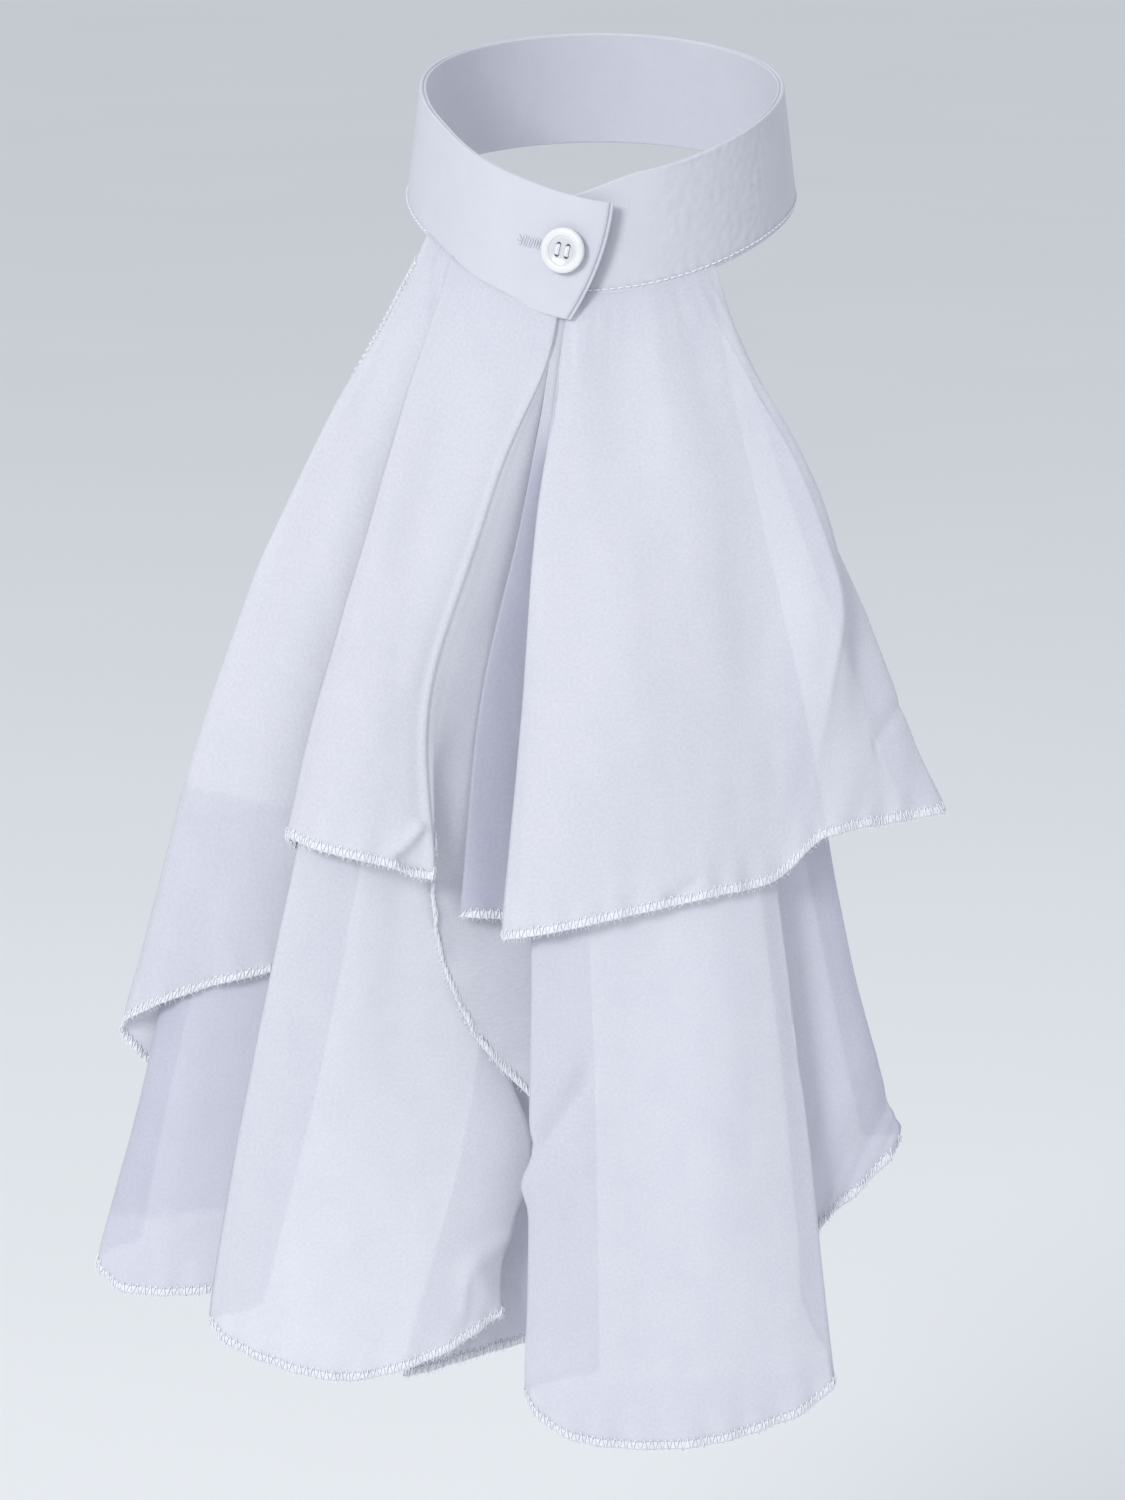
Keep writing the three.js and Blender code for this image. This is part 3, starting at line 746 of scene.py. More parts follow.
def makeButton():
    radius, rim = fastening["diameter"] / 2, fastening["rimWidth"]
    bottom = fastening["standOff"]
    top = bottom + fastening["thickness"]
    floor = top - fastening["dish"]
    profile = [(radius - 0.0014, bottom), (radius - 0.0004, bottom + 0.0004), (radius, bottom + 0.0011)]
    crown = fastening["rimCrown"]
    for step in range(9):
        turn = math.pi * step / 8
        across = radius - rim / 2 + math.cos(turn) * rim / 2 * 0.97
        profile.append((across, top - crown + crown * math.sin(turn)))
    profile += [(radius - rim - 0.0002, floor + 0.00015), (radius - rim - 0.0008, floor)]
    turns = [2 * math.pi * step / 72 for step in range(72)]
    bm = bmesh.new()
    rings = [[bm.verts.new((distance * math.cos(turn), distance * math.sin(turn), height)) for turn in turns]
             for distance, height in profile]
    for ring, after in zip(rings, rings[1:]):
        for s in range(len(turns)):
            following = (s + 1) % len(turns)
            bm.faces.new((ring[s], ring[following], after[following], after[s]))
    bm.faces.new(rings[0][::-1])
    bm.faces.new(rings[-1])
    disc = meshObject("button_disc", bm)
    drills = bmesh.new()
    half, bore = fastening["holeSpacing"] / 2, fastening["holeDiameter"] / 2
    for x in (-half, half):
        for y in (-half, half):
            place = Matrix.Translation((x, y, (bottom + top) / 2))
            bmesh.ops.create_cone(drills, cap_ends=True, segments=24, radius1=bore, radius2=bore,
                                  depth=0.01, matrix=place)
    drill = meshObject("drills", drills)
    cut = disc.modifiers.new("holes", "BOOLEAN")
    cut.operation = "DIFFERENCE"
    cut.solver = "EXACT"
    cut.object = drill
    depsgraph = bpy.context.evaluated_depsgraph_get()
    cutMesh = bpy.data.meshes.new_from_object(disc.evaluated_get(depsgraph), depsgraph=depsgraph)
    local = np.array([v.co for v in cutMesh.vertices])
    verts = toWorld(local)
    faces = [list(polygon.vertices) for polygon in cutMesh.polygons]
    for extra in (disc, drill):
        bpy.data.objects.remove(extra)
    piece = makePiece("button_resin", verts, faces, resin)
    piece.data.set_sharp_from_angle(angle=math.radians(50))
    fromMiddle = np.hypot(local[:, 0], local[:, 1])
    # painted shade in the dish, inside the raised rim
    setShade(piece, 1 - ramp(fromMiddle, radius - rim - 0.0005, radius - rim + 0.0002))
    return piece


def makeButtonThread():
    bottom = fastening["standOff"]
    top = bottom + fastening["thickness"] - fastening["dish"]
    half = fastening["holeSpacing"] / 2
    strand = fastening["threadRadius"]
    parts = []
    for side in (-half, half):
        for offset in (-1.1, 0.0, 1.1):  # three strands, the middle one over the others
            shift = side + offset * strand * 1.6
            lift = 0.0002 if offset else 0.00045
            points = [(side, -half, bottom), (shift, -half + 0.0001, top + 0.0001),
                      (shift, -half * 0.6, top + strand + lift), (shift, 0, top + strand + lift * 1.3),
                      (shift, half * 0.6, top + strand + lift), (shift, half - 0.0001, top + 0.0001),
                      (side, half, bottom)]
            shares = np.linspace(0, 1, 25)
            smooth = curveThrough(np.asarray(points)[:, None, :], shares)[:, 0]
            parts.append(tube(toWorld(smooth), strand, 8))
    seatRise = fastening["rise"] - float(lapFall(fastening["angle"], fastening["rise"])) / band["height"]
    underSeat = bandPoint(fastening["angle"] - 360, seatRise, band["wall"])
    seat, _, _, out = buttonFrame()
    foot = float((underSeat - seat) @ out)
    ring = fastening["shankRadius"] * 0.62
    for index in range(5):  # the shank's strands, twisted round each other
        turn = 2 * math.pi * index / 5
        points = [(ring * math.cos(turn + 3 * s), ring * math.sin(turn + 3 * s), foot + (bottom - foot) * s)
                  for s in np.linspace(0, 1, 9)]
        parts.append(tube(toWorld(points), strand * 1.5, 6))
    wrap = [(fastening["shankRadius"] * math.cos(t), fastening["shankRadius"] * math.sin(t),
             0.0002 + (bottom - 0.0004) * t / (8 * math.pi)) for t in np.linspace(0, 8 * math.pi, 70)]
    parts.append(tube(toWorld(wrap), strand, 6))
    verts, faces = joined(parts)
    return makePiece("button_thread_strands", verts, faces, sewingThread)


buttonPiece = makeButton()
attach(buttonPiece, "root")
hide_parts("button")
threadPiece = makeButtonThread()
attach(threadPiece, "root")
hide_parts("button_thread")
print("button made")


# Ruffles

ruffles = {  # the values that all four sheets share
    "spread": 0.16,
    "fullness": 0.04,
    "upperDrop": 0.24,
    "lowerDrop": 0.36,
    "fallStart": 0.0018,
    "yokeFall": 0.06,
    "breastFall": 0.12,
    "waistFall": 0.234,
    "chestSwell": 0.031,
    "chestSetBack": 0.0044,
    "chestRounding": 0.018,
    "thickness": 0.0003,
    "tuckIn": 0.0025,  # how far the cloth runs up between the band's plies
    "columns": 210,
    "rows": 130,
    "evenShare": 0.35,
    "crispReach": 0.7,  # how far a pressed fold is straight to each side, in folds
}
chestProfile = [(0, 0), (0.2, 0.33), (0.42, 0.67), (0.7, 0.94), (1, 1)]  # shares of lower drop and swell
ruffleTop = bandPoint(band["overEndBottom"], 0.0, 0.0)[2] - ruffles["fallStart"]
tiers = {
    "upper": {"seat": band["wall"] - 0.0006, "levels": ["yokeFall", "breastFall"], "drop": "upperDrop"},
    "lower": {"seat": 0.0005, "levels": ["yokeFall", "breastFall", "waistFall"], "drop": "lowerDrop"},
}

leftSeam = (346.8, 298.0)  # the band angles that each half is gathered between
rightSeam = (-11.8, 34.0)

# A sheet's rows, where a place counts its folds from 0:
# folds: name, share of the seam, (x, depth) at each level, (x, depth, fall) at the hem, as in the solids
# crisp: how sharply a fold is pressed, from 0, a round curve, to 1, a straight crease
# sways: a fold that sways on its way down, its height, half the sway's length, shift aside, shift forward
# edges: the place of a fold that is pressed into a fine standing edge, its half width, its height
# creases: name, first and last place, (x, z) of its start and end, half width, depth outward
# layeredShade: first and last place where layers lie together, how much painted shade darkens the cloth
# there
# seenThroughShade: first and last place, (x, z) of the ends of a hidden layer's edge that shows through,
# change of painted shade below it
# sides: whether the first and the last side are overlocked as the hem is
upperLeft = {
    "name": "upper_ruffle_left",
    "tier": "upper",
    "seam": leftSeam,
    "seed": 3,
    "sides": (False, True),
    "folds": [
        ("tail", 0, (-0.125, 0.02), (-0.12, 0.1), (-0.14, 0.3, 1.06)),
        ("strip back", 0.012, (-0.135, 0.1), (-0.18, 0.2), (-0.26, 0.37, 0.97)),
        ("strip front", 0.024, (-0.17, 0.22), (-0.28, 0.4), (-0.335, 0.47, 0.845)),
        ("curl", 0.034, (-0.215, 0.3), (-0.33, 0.55), (-0.352, 0.66, 0.665)),
        ("ridge", 0.045, (-0.245, 0.36), (-0.36, 0.65), (-0.345, 0.77, 0.735)),
        ("front right", 0.25, (-0.3, 0.4), (-0.415, 0.75), (-0.43, 0.88, 0.715)),
        ("front middle", 0.42, (-0.37, 0.4), (-0.48, 0.8), (-0.525, 0.93, 0.7)),
        ("front left", 0.58, (-0.44, 0.38), (-0.53, 0.75), (-0.6, 0.88, 0.69)),
        ("front fold", 0.7, (-0.47, 0.29), (-0.58, 0.55), (-0.65, 0.66, 0.685)),
        ("inner turn", 0.76, (-0.4, 0.2), (-0.48, 0.36), (-0.575, 0.45, 0.75)),
        ("wing root", 0.81, (-0.45, 0.17), (-0.53, 0.33), (-0.625, 0.38, 0.86)),
        ("wing middle", 0.87, (-0.54, 0.19), (-0.67, 0.35), (-0.825, 0.38, 0.91)),
        ("wing outside", 0.92, (-0.61, 0.16), (-0.765, 0.28), (-0.96, 0.33, 0.95)),
        ("wing edge", 0.96, (-0.655, 0.11), (-0.805, 0.17), (-1.01, 0.17, 0.985)),
        ("wing back", 1, (-0.62, 0.04), (-0.74, 0.03), (-0.915, 0, 1.06)),
    ],
    "crisp": {"ridge": 1.0, "strip back": 0.4, "front fold": 0.85, "wing outside": 0.3, "wing edge": 0.5},
    "sways": [
        ("ridge", -0.06, 0.025, 0.0055, 0),
        ("curl", -0.06, 0.025, 0.0047, 0),
        ("strip front", -0.06, 0.025, 0.0025, 0),
    ],
    "edges": [(4.0, 0.16, 0.0007), (8.0, 0.2, 0.0003)],
    "creases": [
        ("wing bend", 10, 13, (-0.107, -0.155), (-0.09, -0.166), 0.0022, 0.0011),
        ("front bend", 5, 8, (-0.082, -0.153), (-0.068, -0.152), 0.002, 0.0006),
        ("hem curl over", 3.6, 5.3, (-0.0668, -0.2169), (-0.0586, -0.2079), 0.0019, 0.0028),
        ("hem curl under", 3.6, 5.3, (-0.0668, -0.2169), (-0.0563, -0.2259), 0.0019, -0.0028),
        ("top pleat", 8, 12, (-0.0535, -0.029), (-0.0585, -0.05), 0.0016, 0.0013),
    ],
    "layeredShade": [(0, 2.6, 0.1)],
    "seenThroughShade": [(9.6, 14, (-0.14, -0.201), (-0.105, -0.207), 0.22)],
}
upperRight = {
    "name": "upper_ruffle_right",
    "tier": "upper",
    "seam": rightSeam,
    "seed": 11,
    "sides": (False, False),
    "folds": [
        ("peek end", 0, (-0.165, 0.34), (-0.25, 0.4), (-0.295, 0.5, 0.795)),
        ("valley", 0.03, (-0.05, 0.2), (-0.06, 0.26), (-0.065, 0.34, 0.81)),
        ("left fold", 0.05, (-0.135, 0.39), (-0.17, 0.68), (-0.205, 0.78, 0.815)),
        ("front left", 0.17, (-0.08, 0.48), (-0.1, 0.88), (-0.12, 0.95, 0.8)),
        ("front middle", 0.35, (0.035, 0.52), (0.035, 0.95), (0.035, 1.02, 0.775)),
        ("front right", 0.54, (0.17, 0.5), (0.205, 0.85), (0.225, 0.93, 0.75)),
        ("soft valley", 0.7, (0.29, 0.42), (0.335, 0.72), (0.355, 0.78, 0.735)),
        ("crease", 0.8, (0.435, 0.33), (0.46, 0.65), (0.46, 0.72, 0.68)),
        ("side facet", 0.88, (0.46, 0.22), (0.53, 0.42), (0.59, 0.5, 0.67)),
        ("outer edge", 0.94, (0.45, 0.14), (0.605, 0.26), (0.71, 0.28, 0.665)),
        ("outer back", 1, (0.39, 0.07), (0.53, 0.1), (0.625, 0.1, 0.67)),
    ],
    "crisp": {"left fold": 0.6, "soft valley": 0.35, "crease": 0.95, "outer edge": 0.5},
    "sways": [
        ("front middle", -0.075, 0.035, 0, -0.0018),
        ("front right", -0.08, 0.03, 0, 0.0012),
        ("front right", -0.185, 0.035, 0, -0.0018),
        ("soft valley", -0.14, 0.03, 0, -0.0012),
        ("crease", -0.14, 0.02, 0.005, 0),
        ("crease", -0.195, 0.018, -0.0045, 0),
    ],
    "creases": [
        ("pucker", 4, 6, (0.02, -0.231), (0.032, -0.224), 0.002, 0.0012),
        ("edge bend", 8, 10, (0.078, -0.118), (0.09, -0.14), 0.003, 0.0009),
        ("hem bend", 8, 10, (0.085, -0.19), (0.1, -0.172), 0.003, 0.0008),
    ],
    "layeredShade": [(0, 1.3, 0.7), (6.4, 10, 0.13)],
}
lowerLeft = {
    "name": "lower_ruffle_left",
    "tier": "lower",
    "seam": leftSeam,
    "seed": 19,
    "sides": (False, True),
    "folds": [
        ("tail", 0, (-0.125, -0.07), (-0.1, -0.02), (-0.08, -0.04), (-0.065, 0, 0.94)),
        ("strip back", 0.015, (-0.14, 0.02), (-0.165, 0.06), (-0.14, -0.01), (-0.16, 0.07, 0.945)),
        ("hidden turn", 0.03, (-0.19, 0.14), (-0.27, 0.2), (-0.25, 0.03), (-0.42, 0.2, 0.975)),
        ("ridge", 0.045, (-0.245, 0.27), (-0.36, 0.42), (-0.22, 0.22), (-0.215, 0.42, 0.905)),
        ("front right", 0.25, (-0.3, 0.33), (-0.42, 0.62), (-0.39, 0.5), (-0.33, 0.66, 0.935)),
        ("front middle", 0.42, (-0.375, 0.34), (-0.48, 0.7), (-0.51, 0.7), (-0.52, 0.78, 0.96)),
        ("front left", 0.57, (-0.425, 0.335), (-0.52, 0.67), (-0.655, 0.78), (-0.73, 0.68, 0.945)),
        ("front fold", 0.67, (-0.445, 0.31), (-0.555, 0.6), (-0.715, 0.7), (-0.825, 0.5, 0.92)),
        ("inner turn", 0.73, (-0.362, 0.235), (-0.435, 0.4), (-0.575, 0.48), (-0.71, 0.35, 0.905)),
        ("wing root", 0.81, (-0.44, 0.11), (-0.52, 0.23), (-0.655, 0.26), (-0.78, 0.28, 0.9)),
        ("wing middle", 0.87, (-0.52, 0.12), (-0.645, 0.25), (-0.83, 0.28), (-0.945, 0.28, 0.905)),
        ("wing outside", 0.92, (-0.575, 0.12), (-0.71, 0.2), (-0.9, 0.23), (-1.035, 0.23, 0.9)),
        ("wing edge", 0.96, (-0.63, 0.1), (-0.765, 0.14), (-0.93, 0.15), (-1.065, 0.12, 0.88)),
        ("wing back", 1, (-0.57, 0.06), (-0.68, 0.06), (-0.875, 0.05), (-0.975, 0.03, 0.86)),
    ],
    "crisp": {"ridge": 0.4, "front left": 0.2, "front fold": 0.7, "wing edge": 0.5},
    "sways": [("ridge", -0.322, 0.025, 0.0105, 0)],
    "edges": [(7.0, 0.2, 0.0003)],
    "creases": [
        ("hem curl", 3, 5, (-0.03, -0.385), (-0.045, -0.355), 0.005, 0.0018),
        ("side curl", 2.5, 5, (-0.0245, -0.345), (-0.0455, -0.3585), 0.0025, 0.0017),
        ("side curl end", 2.5, 5, (-0.0455, -0.3585), (-0.047, -0.376), 0.0025, 0.0017),
        ("side bend", 8, 12, (-0.14, -0.35), (-0.118, -0.345), 0.002, 0.0008),
    ],
    "layeredShade": [(0, 2.6, 0.4), (3.2, 7.2, 0.1), (7.6, 13, 0.55)],
    "seenThroughShade": [(8.6, 14, (-0.157, -0.349), (-0.124, -0.345), -0.2)],
}
lowerRight = {
    "name": "lower_ruffle_right",
    "tier": "lower",
    "seam": rightSeam,
    "seed": 27,
    "sides": (False, True),
    "folds": [
        ("tail", 0.11, (-0.07, 0.385), (-0.05, 0.62), (-0.02, 0.55), (-0.005, 0.4, 0.96)),
        ("left fold", 0.13, (-0.09, 0.425), (-0.145, 0.71), (-0.15, 0.7), (-0.165, 0.6, 0.975)),
        ("front left", 0.2, (-0.05, 0.44), (-0.085, 0.78), (-0.075, 0.8), (-0.08, 0.75, 1.01)),
        ("front middle", 0.35, (0.04, 0.45), (0.06, 0.82), (0.105, 0.85), (0.12, 0.82, 1.02)),
        ("front right", 0.54, (0.16, 0.41), (0.205, 0.72), (0.295, 0.78), (0.335, 0.75, 1.005)),
        ("right fold", 0.7, (0.25, 0.31), (0.305, 0.57), (0.405, 0.62), (0.485, 0.6, 0.97)),
        ("inner turn", 0.78, (0.225, 0.24), (0.265, 0.42), (0.365, 0.45), (0.41, 0.42, 0.885)),
        ("wing root", 0.84, (0.255, 0.17), (0.305, 0.33), (0.41, 0.35), (0.455, 0.33, 0.83)),
        ("wing middle", 0.9, (0.29, 0.16), (0.36, 0.28), (0.495, 0.3), (0.55, 0.28, 0.79)),
        ("wing edge", 0.95, (0.315, 0.1), (0.405, 0.17), (0.555, 0.17), (0.625, 0.15, 0.75)),
        ("wing back", 1, (0.285, 0.03), (0.35, 0.05), (0.495, 0.03), (0.545, 0.03, 0.75)),
    ],
    "crisp": {"left fold": 0.5, "right fold": 0.7, "wing edge": 0.5},
    "sways": [
        ("left fold", -0.316, 0.005, 0.0014, 0),
        ("left fold", -0.3285, 0.0055, -0.0028, 0),
        ("front left", -0.3285, 0.006, -0.0012, 0),
    ],
    "creases": [
        ("left bend", 1, 3, (-0.022, -0.315), (-0.004, -0.288), 0.0022, 0.0024),
        ("left bend under", 1, 3, (-0.022, -0.322), (-0.012, -0.34), 0.003, -0.001),
        ("middle bend", 3, 5, (0.018, -0.29), (0.052, -0.316), 0.003, 0.0009),
        ("hem bend", 2, 6, (0.0, -0.385), (0.055, -0.39), 0.0025, 0.0008),
    ],
    "layeredShade": [(0, 5.6, 0.2), (6.0, 10, 0.48)],
    "seenThroughShade": [(1.5, 6, (-0.023, -0.395), (0.075, -0.39), 0.05)],
}


def chestForward(x, fall):
    shares, swells = zip(*chestProfile)
    swell = ruffles["chestSwell"] * np.interp(fall / ruffles["lowerDrop"], shares, swells)
    front = band["halfDepth"] + band["flare"] + band["wall"]
    return front - ruffles["chestSetBack"] + swell - ruffles["chestRounding"] * (x / ruffles["spread"]) ** 2


def foldStations(fold, sheet):
    tier = tiers[sheet["tier"]]
    angle = sheet["seam"][0] + (sheet["seam"][1] - sheet["seam"][0]) * fold[1]
    points = [bandPoint(angle, 0.0, tier["seat"]) + np.array([0, 0, ruffles["tuckIn"]])]
    falls = [ruffles[level] for level in tier["levels"]] + [fold[-1][2] * ruffles[tier["drop"]]]
    for station, fall in zip(fold[2:], falls):
        x = station[0] * ruffles["spread"]
        points.append([x, -chestForward(x, fall) - station[1] * ruffles["fullness"], ruffleTop - fall])
    return points


def sheetGrid(sheet):  # the sheet's middle, columns by rows, and each column's place among the folds
    names = [fold[0] for fold in sheet["folds"]]
    last = len(names) - 1
    stations = np.array([foldStations(fold, sheet) for fold in sheet["folds"]], float)
    rowShares = np.linspace(0, 1, ruffles["rows"] + 1)
    lines = curveThrough(stations.transpose(1, 0, 2), rowShares).transpose(1, 0, 2)
    for fold, height, reach, aside, forward in sheet["sways"]:
        line = lines[names.index(fold)]
        sway = bell(line[:, 2], height, reach)
        line[:, 0] += aside * sway
        line[:, 1] -= forward * sway
    fine = np.linspace(0, 1, 40 * last + 1)
    rough = curveThrough(lines, fine)
    steps = np.linalg.norm(np.diff(rough, axis=0), axis=-1)[:, len(rowShares) // 2:].mean(1)
    steps = steps + ruffles["evenShare"] * steps.mean()  # keeps some columns for the narrow turns
    reached = np.concatenate([[0], np.cumsum(steps)])
    shares = np.interp(np.linspace(0, reached[-1], ruffles["columns"] + 1), reached, fine)
    places = shares * last
    before = np.minimum(places.astype(int), last - 1)
    between = (places - before)[:, None, None]
    straight = lines[before] * (1 - between) + lines[before + 1] * between
    crisp = np.zeros(len(places))
    for fold, amount in sheet["crisp"].items():
        near = np.clip(1 - np.abs(places - names.index(fold)) / ruffles["crispReach"], 0, 1)
        crisp = np.maximum(crisp, amount * ramp(near, 0, 1))
    crisp = crisp[:, None, None] * ramp(rowShares, 0.0, 0.1)[None, :, None]
    return curveThrough(lines, shares) * (1 - crisp) + straight * crisp, places


wrinkles = {
    "soft": 0.0017,
    "softScale": (38, 11),
    "fine": 0.00025,
    "fineScale": (110, 45),
    "gather": 0.00022,
    "gatherCount": 11,
    "gatherFade": 0.012,
    "ripple": 0.0006,
    "rippleLength": 0.013,
    "rippleFade": 0.007,
}


def crinkle(u, v, seamShares, seed):  # soft undulations, gathers at the seam and a ripple at the hem
    soft = noiseOver(u, v, wrinkles["softScale"], seed)
    fine = noiseOver(u, v, wrinkles["fineScale"], seed + 7)
    gathers = np.sin(seamShares[:, None] * 2 * math.pi * wrinkles["gatherCount"] + seed + 3 * soft)
    gathers = gathers * np.exp(-v / wrinkles["gatherFade"]) * ramp(v, 0.0035, 0.013)
    ripple = np.sin(u * 2 * math.pi / wrinkles["rippleLength"] + 2.5 * soft)
    ripple = ripple * np.exp(-(v[:, -1:] - v) / wrinkles["rippleFade"])
    amount = wrinkles["soft"] * soft * ramp(v, 0.0, 0.05) + wrinkles["fine"] * fine * ramp(v, 0.0, 0.03)
    return amount + wrinkles["gather"] * gathers + wrinkles["ripple"] * ripple


def creaseOffset(sheet, middle, places):  # what was pressed into the cloth
    offset = np.zeros(middle.shape[:2])
    x, z = middle[..., 0], middle[..., 2]
    for _, first, last, (x0, z0), (x1, z1), width, depth in sheet["creases"]:
        length = math.hypot(x1 - x0, z1 - z0)
        ax, az = (x1 - x0) / length, (z1 - z0) / length
        along = ((x - x0) * ax + (z - z0) * az) / length
        aside = (x - x0) * -az + (z - z0) * ax
        held = (places[:, None] >= first) & (places[:, None] <= last)
        fade = ramp(along, -0.1, 0.15) * (1 - ramp(along, 0.85, 1.1))
        offset += held * fade * depth * np.exp(-(np.abs(aside) / width) ** 1.3)
    for place, width, height in sheet.get("edges", []):
        offset += height * bell(places, place, width)[:, None]
    return offset


shadePainting = {
    "shadeUnderBand": 0.22,  # painted shade on the gathers just under the band
    "shadeUnderBandFade": 0.035,
    "starts": (0.03, 0.07),  # how far below the seam the painted shade of the layers starts
    "sideFade": 0.35,  # share of a fold's width
    "edgeFade": 0.0015,
}


# painted shade: on the gathers under the band, where layers lie together and below the edges of hidden
# layers
def layerShade(sheet, middle, places, v):
    shade = shadePainting["shadeUnderBand"] * np.exp(-v / shadePainting["shadeUnderBandFade"])
    below, fade = ramp(v, *shadePainting["starts"]), shadePainting["sideFade"]
    for first, last, amount in sheet["layeredShade"]:
        inside = ramp(places, first - fade, first) * (1 - ramp(places, last, last + fade))
        shade = shade + amount * inside[:, None] * below
    x, z = middle[..., 0], middle[..., 2]
    for first, last, (x0, z0), (x1, z1), amount in sheet.get("seenThroughShade", []):
        line = z0 + (x - x0) * (z1 - z0) / (x1 - x0)
        inside = (places >= first) & (places <= last)
        shade = shade + amount * inside[:, None] * np.clip((line - z) / shadePainting["edgeFade"] + 0.5, 0, 1)
    return np.clip(shade, 0, 1)


hem = {
    "coreReach": 0.0014,
    "coreLift": 0.0003,
    "seat": 0.8,  # share of its reach that a core or thread is set in from the edge
    "step": 0.0016,
}
hemStitch = {"Pitch": 0.0024, "Reach": 0.0018, "Lift": 0.0006, "Thread Radius": 0.00025, "Unevenness": 0.4}
hemFibre = {"Pitch": 0.0013, "Stitch Length": 0.003, "Bow": 0.0006, "Thread Radius": 0.00008, "Tilt": 1.1}


def edgePath(middle, normals, sides):  # down one side, along the hem and up the other
    columns, rows = middle.shape[:2]
    order = [(i, rows - 1) for i in range(columns)]
    if sides[0]:
        order = [(0, j) for j in range(4, rows - 1)] + order
    if sides[1]:
        order += [(columns - 1, j) for j in range(rows - 2, 3, -1)]
    i, j = np.array(order).T
    points, face = middle[i, j], normals[i, j]
    inward = unit(middle[np.clip(i, 3, columns - 4), np.clip(j, 0, rows - 4)] - points)
    reached = np.concatenate([[0], np.cumsum(np.linalg.norm(np.diff(points, axis=0), axis=-1))])
    even = np.arange(0, reached[-1], hem["step"])

    def read(values):
        return np.stack([np.interp(even, reached, values[:, axis]) for axis in range(3)], -1)

    return read(points), unit(read(inward)), unit(read(face))


def makeHemCore(name, points, inward, face):
    turns = np.linspace(0, 2 * math.pi, 9)[:-1]
    centre = points + inward * hem["coreReach"] * hem["seat"]
    rings = [centre + inward * (hem["coreReach"] * math.cos(t)) + face * (hem["coreLift"] * math.sin(t))
             for t in turns]
    verts = np.stack(rings, 1).reshape(-1, 3)
    piece = makePiece(name + "_hem_core", verts, tubeFaces(len(points), len(turns)), hemGround)
    bm = bmesh.new()
    bm.from_mesh(piece.data)
    bmesh.ops.recalc_face_normals(bm, faces=bm.faces)
    bm.to_mesh(piece.data)
    bm.free()
    return piece


def makeRuffle(sheet):
    name, seed, folds = sheet["name"], sheet["seed"], sheet["folds"]
    middle, places = sheetGrid(sheet)
    uv = clothUv(middle)
    u, v = uv.reshape(*middle.shape[:2], 2).transpose(2, 0, 1)
    seamShares = np.interp(places, range(len(folds)), [fold[1] for fold in folds])
    shade = layerShade(sheet, middle, places, v)
    offset = crinkle(u, v, seamShares, seed) + creaseOffset(sheet, middle, places)
    middle = middle + gridNormals(middle) * offset[..., None]
    normals = gridNormals(middle)
    half = ruffles["thickness"] / 2
    verts, faces = slab(middle + normals * half, middle - normals * half)
    cloth = makePiece(name + "_chiffon", verts, faces, chiffon, np.concatenate([uv, uv]))
    setShade(cloth, np.tile(shade.ravel(), 2))
    points, inward, face = edgePath(middle, normals, sheet["sides"])
    core = makeHemCore(name, points, inward, face)
    centre = points + inward * hemStitch["Reach"] * hem["seat"]
    threads = []
    for threadName, hand in (("_overlock", 1), ("_looper", -1)):  # two threads, wound against each other
        inputs = {**hemStitch, "Lift": hand * hemStitch["Lift"], "Seed": float(seed + 40 * hand)}
        vectors = {"into": inward, "face": face}
        threads.append(sewn(name + threadName, woundThread, centre, vectors, inputs, hemThread))
    fibres = sewn(name + "_hem_fibres", stitchRow, points, {"along": inward, "face": face},
                  {**hemFibre, "Seed": seed}, hemThread)
    for piece in (cloth, core, *threads, fibres):
        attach(piece, "root")
    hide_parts(name)


for sheet in (upperLeft, upperRight, lowerLeft, lowerRight):
    makeRuffle(sheet)


# Floor, light and camera

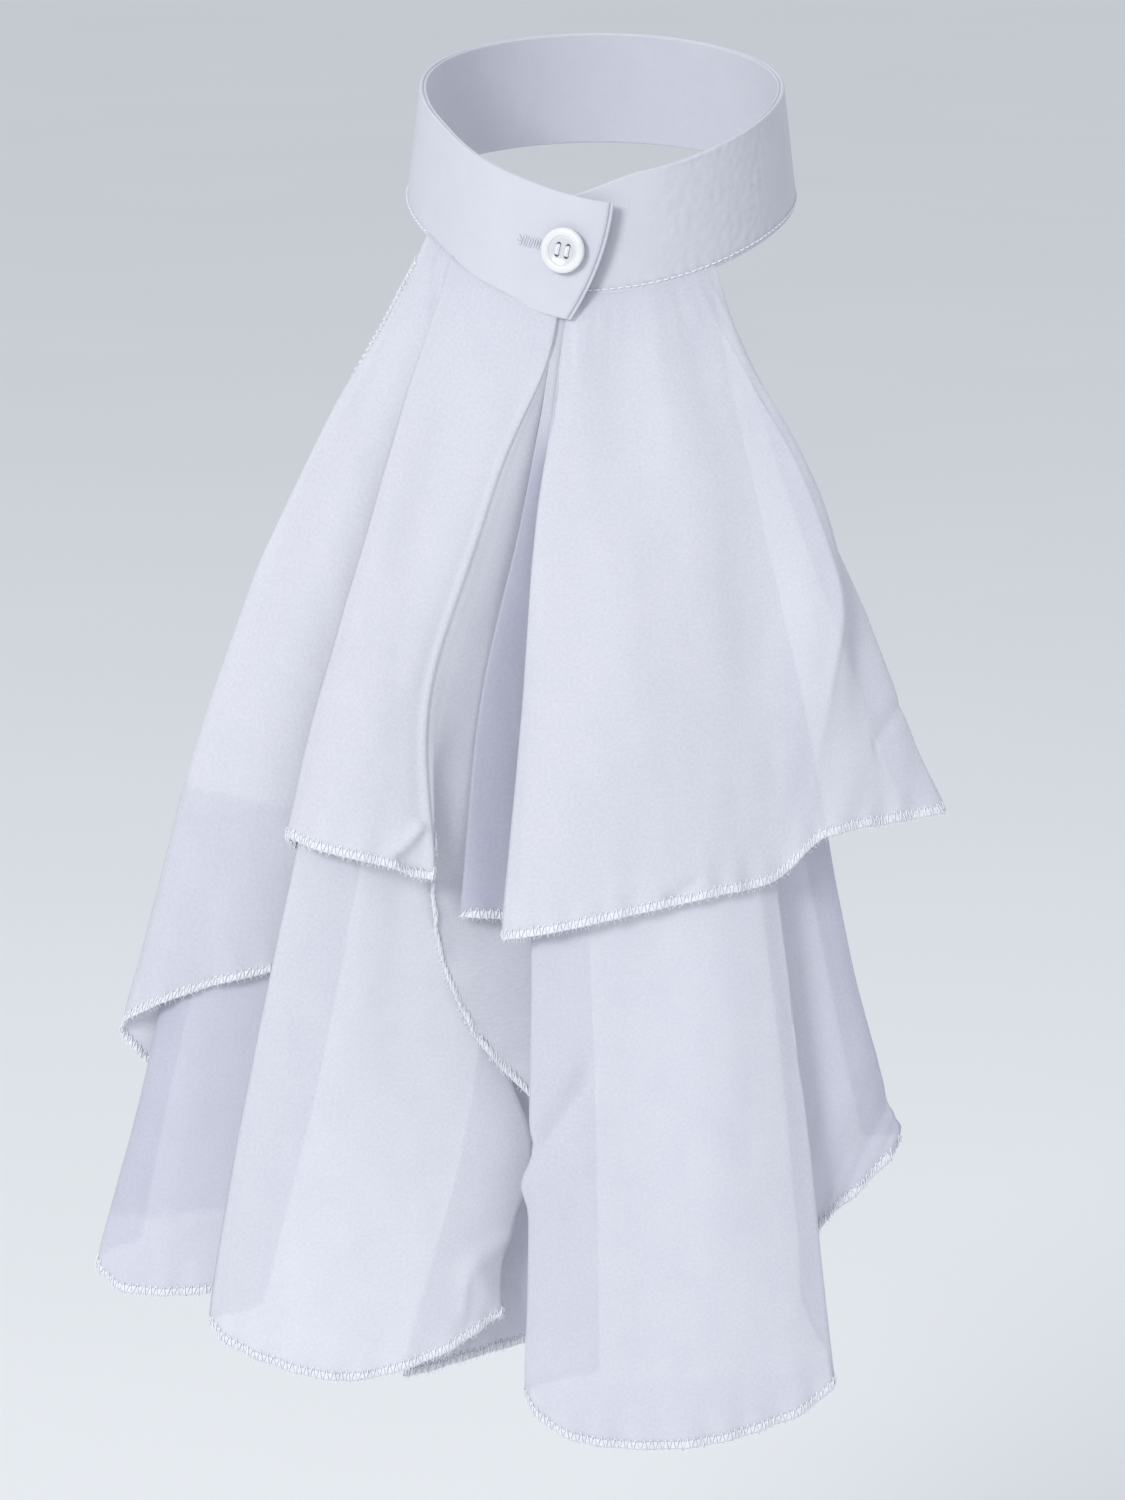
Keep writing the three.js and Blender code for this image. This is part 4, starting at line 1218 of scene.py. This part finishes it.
stage = {
    "floorHeight": -0.62,
    "floorSize": 30.0,
    "floorColour": (0.9, 0.92, 0.93),
    "skyColour": (0.88, 0.91, 0.97),
    "skyStrength": 0.7,
    "lights": [  # name, place, target, size, power, colour
        ("key", (-1.4, -2.3, 1.1), (0, -0.05, -0.15), 1.0, 43, (1.0, 0.99, 0.97)),
        ("fill", (1.9, -1.8, 0.4), (0, -0.05, -0.2), 1.6, 2, (0.95, 0.97, 1.0)),
        ("top", (0.1, 0.3, 2.2), (0, -0.05, -0.2), 1.6, 9, (1.0, 1.0, 1.0)),
    ],
}


def makeFloor():
    half, height, colour = stage["floorSize"] / 2, stage["floorHeight"], stage["floorColour"]
    verts = [(x, y, height) for x, y in ((-half, -half), (half, -half), (half, half), (-half, half))]
    material, tree, shader = newMaterial("pale studio floor")
    dark = tuple(0.985 * part for part in colour)
    mottled = colourBetween(tree, objectNoise(tree, 3.0, 2.0), dark, colour)
    tree.links.new(mottled, shader.inputs["Base Color"])
    shader.inputs["Roughness"].default_value = 0.9
    shader.inputs["Specular IOR Level"].default_value = 0.1
    floor = makePiece("studio_floor", verts, [[0, 1, 2, 3]], material)


makeFloor()
for name, place, target, size, power, colour in stage["lights"]:
    lamp = bpy.data.lights.new(name, "AREA")
    lamp.shape = "DISK"
    lamp.size = size
    lamp.energy = power
    lamp.color = colour
    light = newObject(name, lamp)
    light.location = place
    light.rotation_euler = (Vector(target) - Vector(place)).to_track_quat("-Z", "Y").to_euler()

world = bpy.data.worlds.new("studio")
world.use_nodes = True
background = world.node_tree.nodes["Background"]
background.inputs["Color"].default_value = (*stage["skyColour"], 1)
background.inputs["Strength"].default_value = stage["skyStrength"]
bpy.context.scene.world = world
bpy.context.scene.view_settings.view_transform = "Standard"

view = {
    "pitch": 12.0,  # degrees that the camera looks down
    "distance": 1.9,
    "aim": (-0.0133, -0.1, -0.186),
    "lens": 139.08,
    "sensor": 36.0,
}
pitch = math.radians(view["pitch"])
forward = Vector((0, math.cos(pitch), -math.sin(pitch)))
camera = newObject("camera", bpy.data.cameras.new("camera"))
camera.data.sensor_width = view["sensor"]
camera.data.lens = view["lens"]
camera.location = Vector(view["aim"]) - forward * view["distance"]
camera.rotation_euler = forward.to_track_quat("-Z", "Y").to_euler()
bpy.context.scene.camera = camera
print("floor, light and camera set")
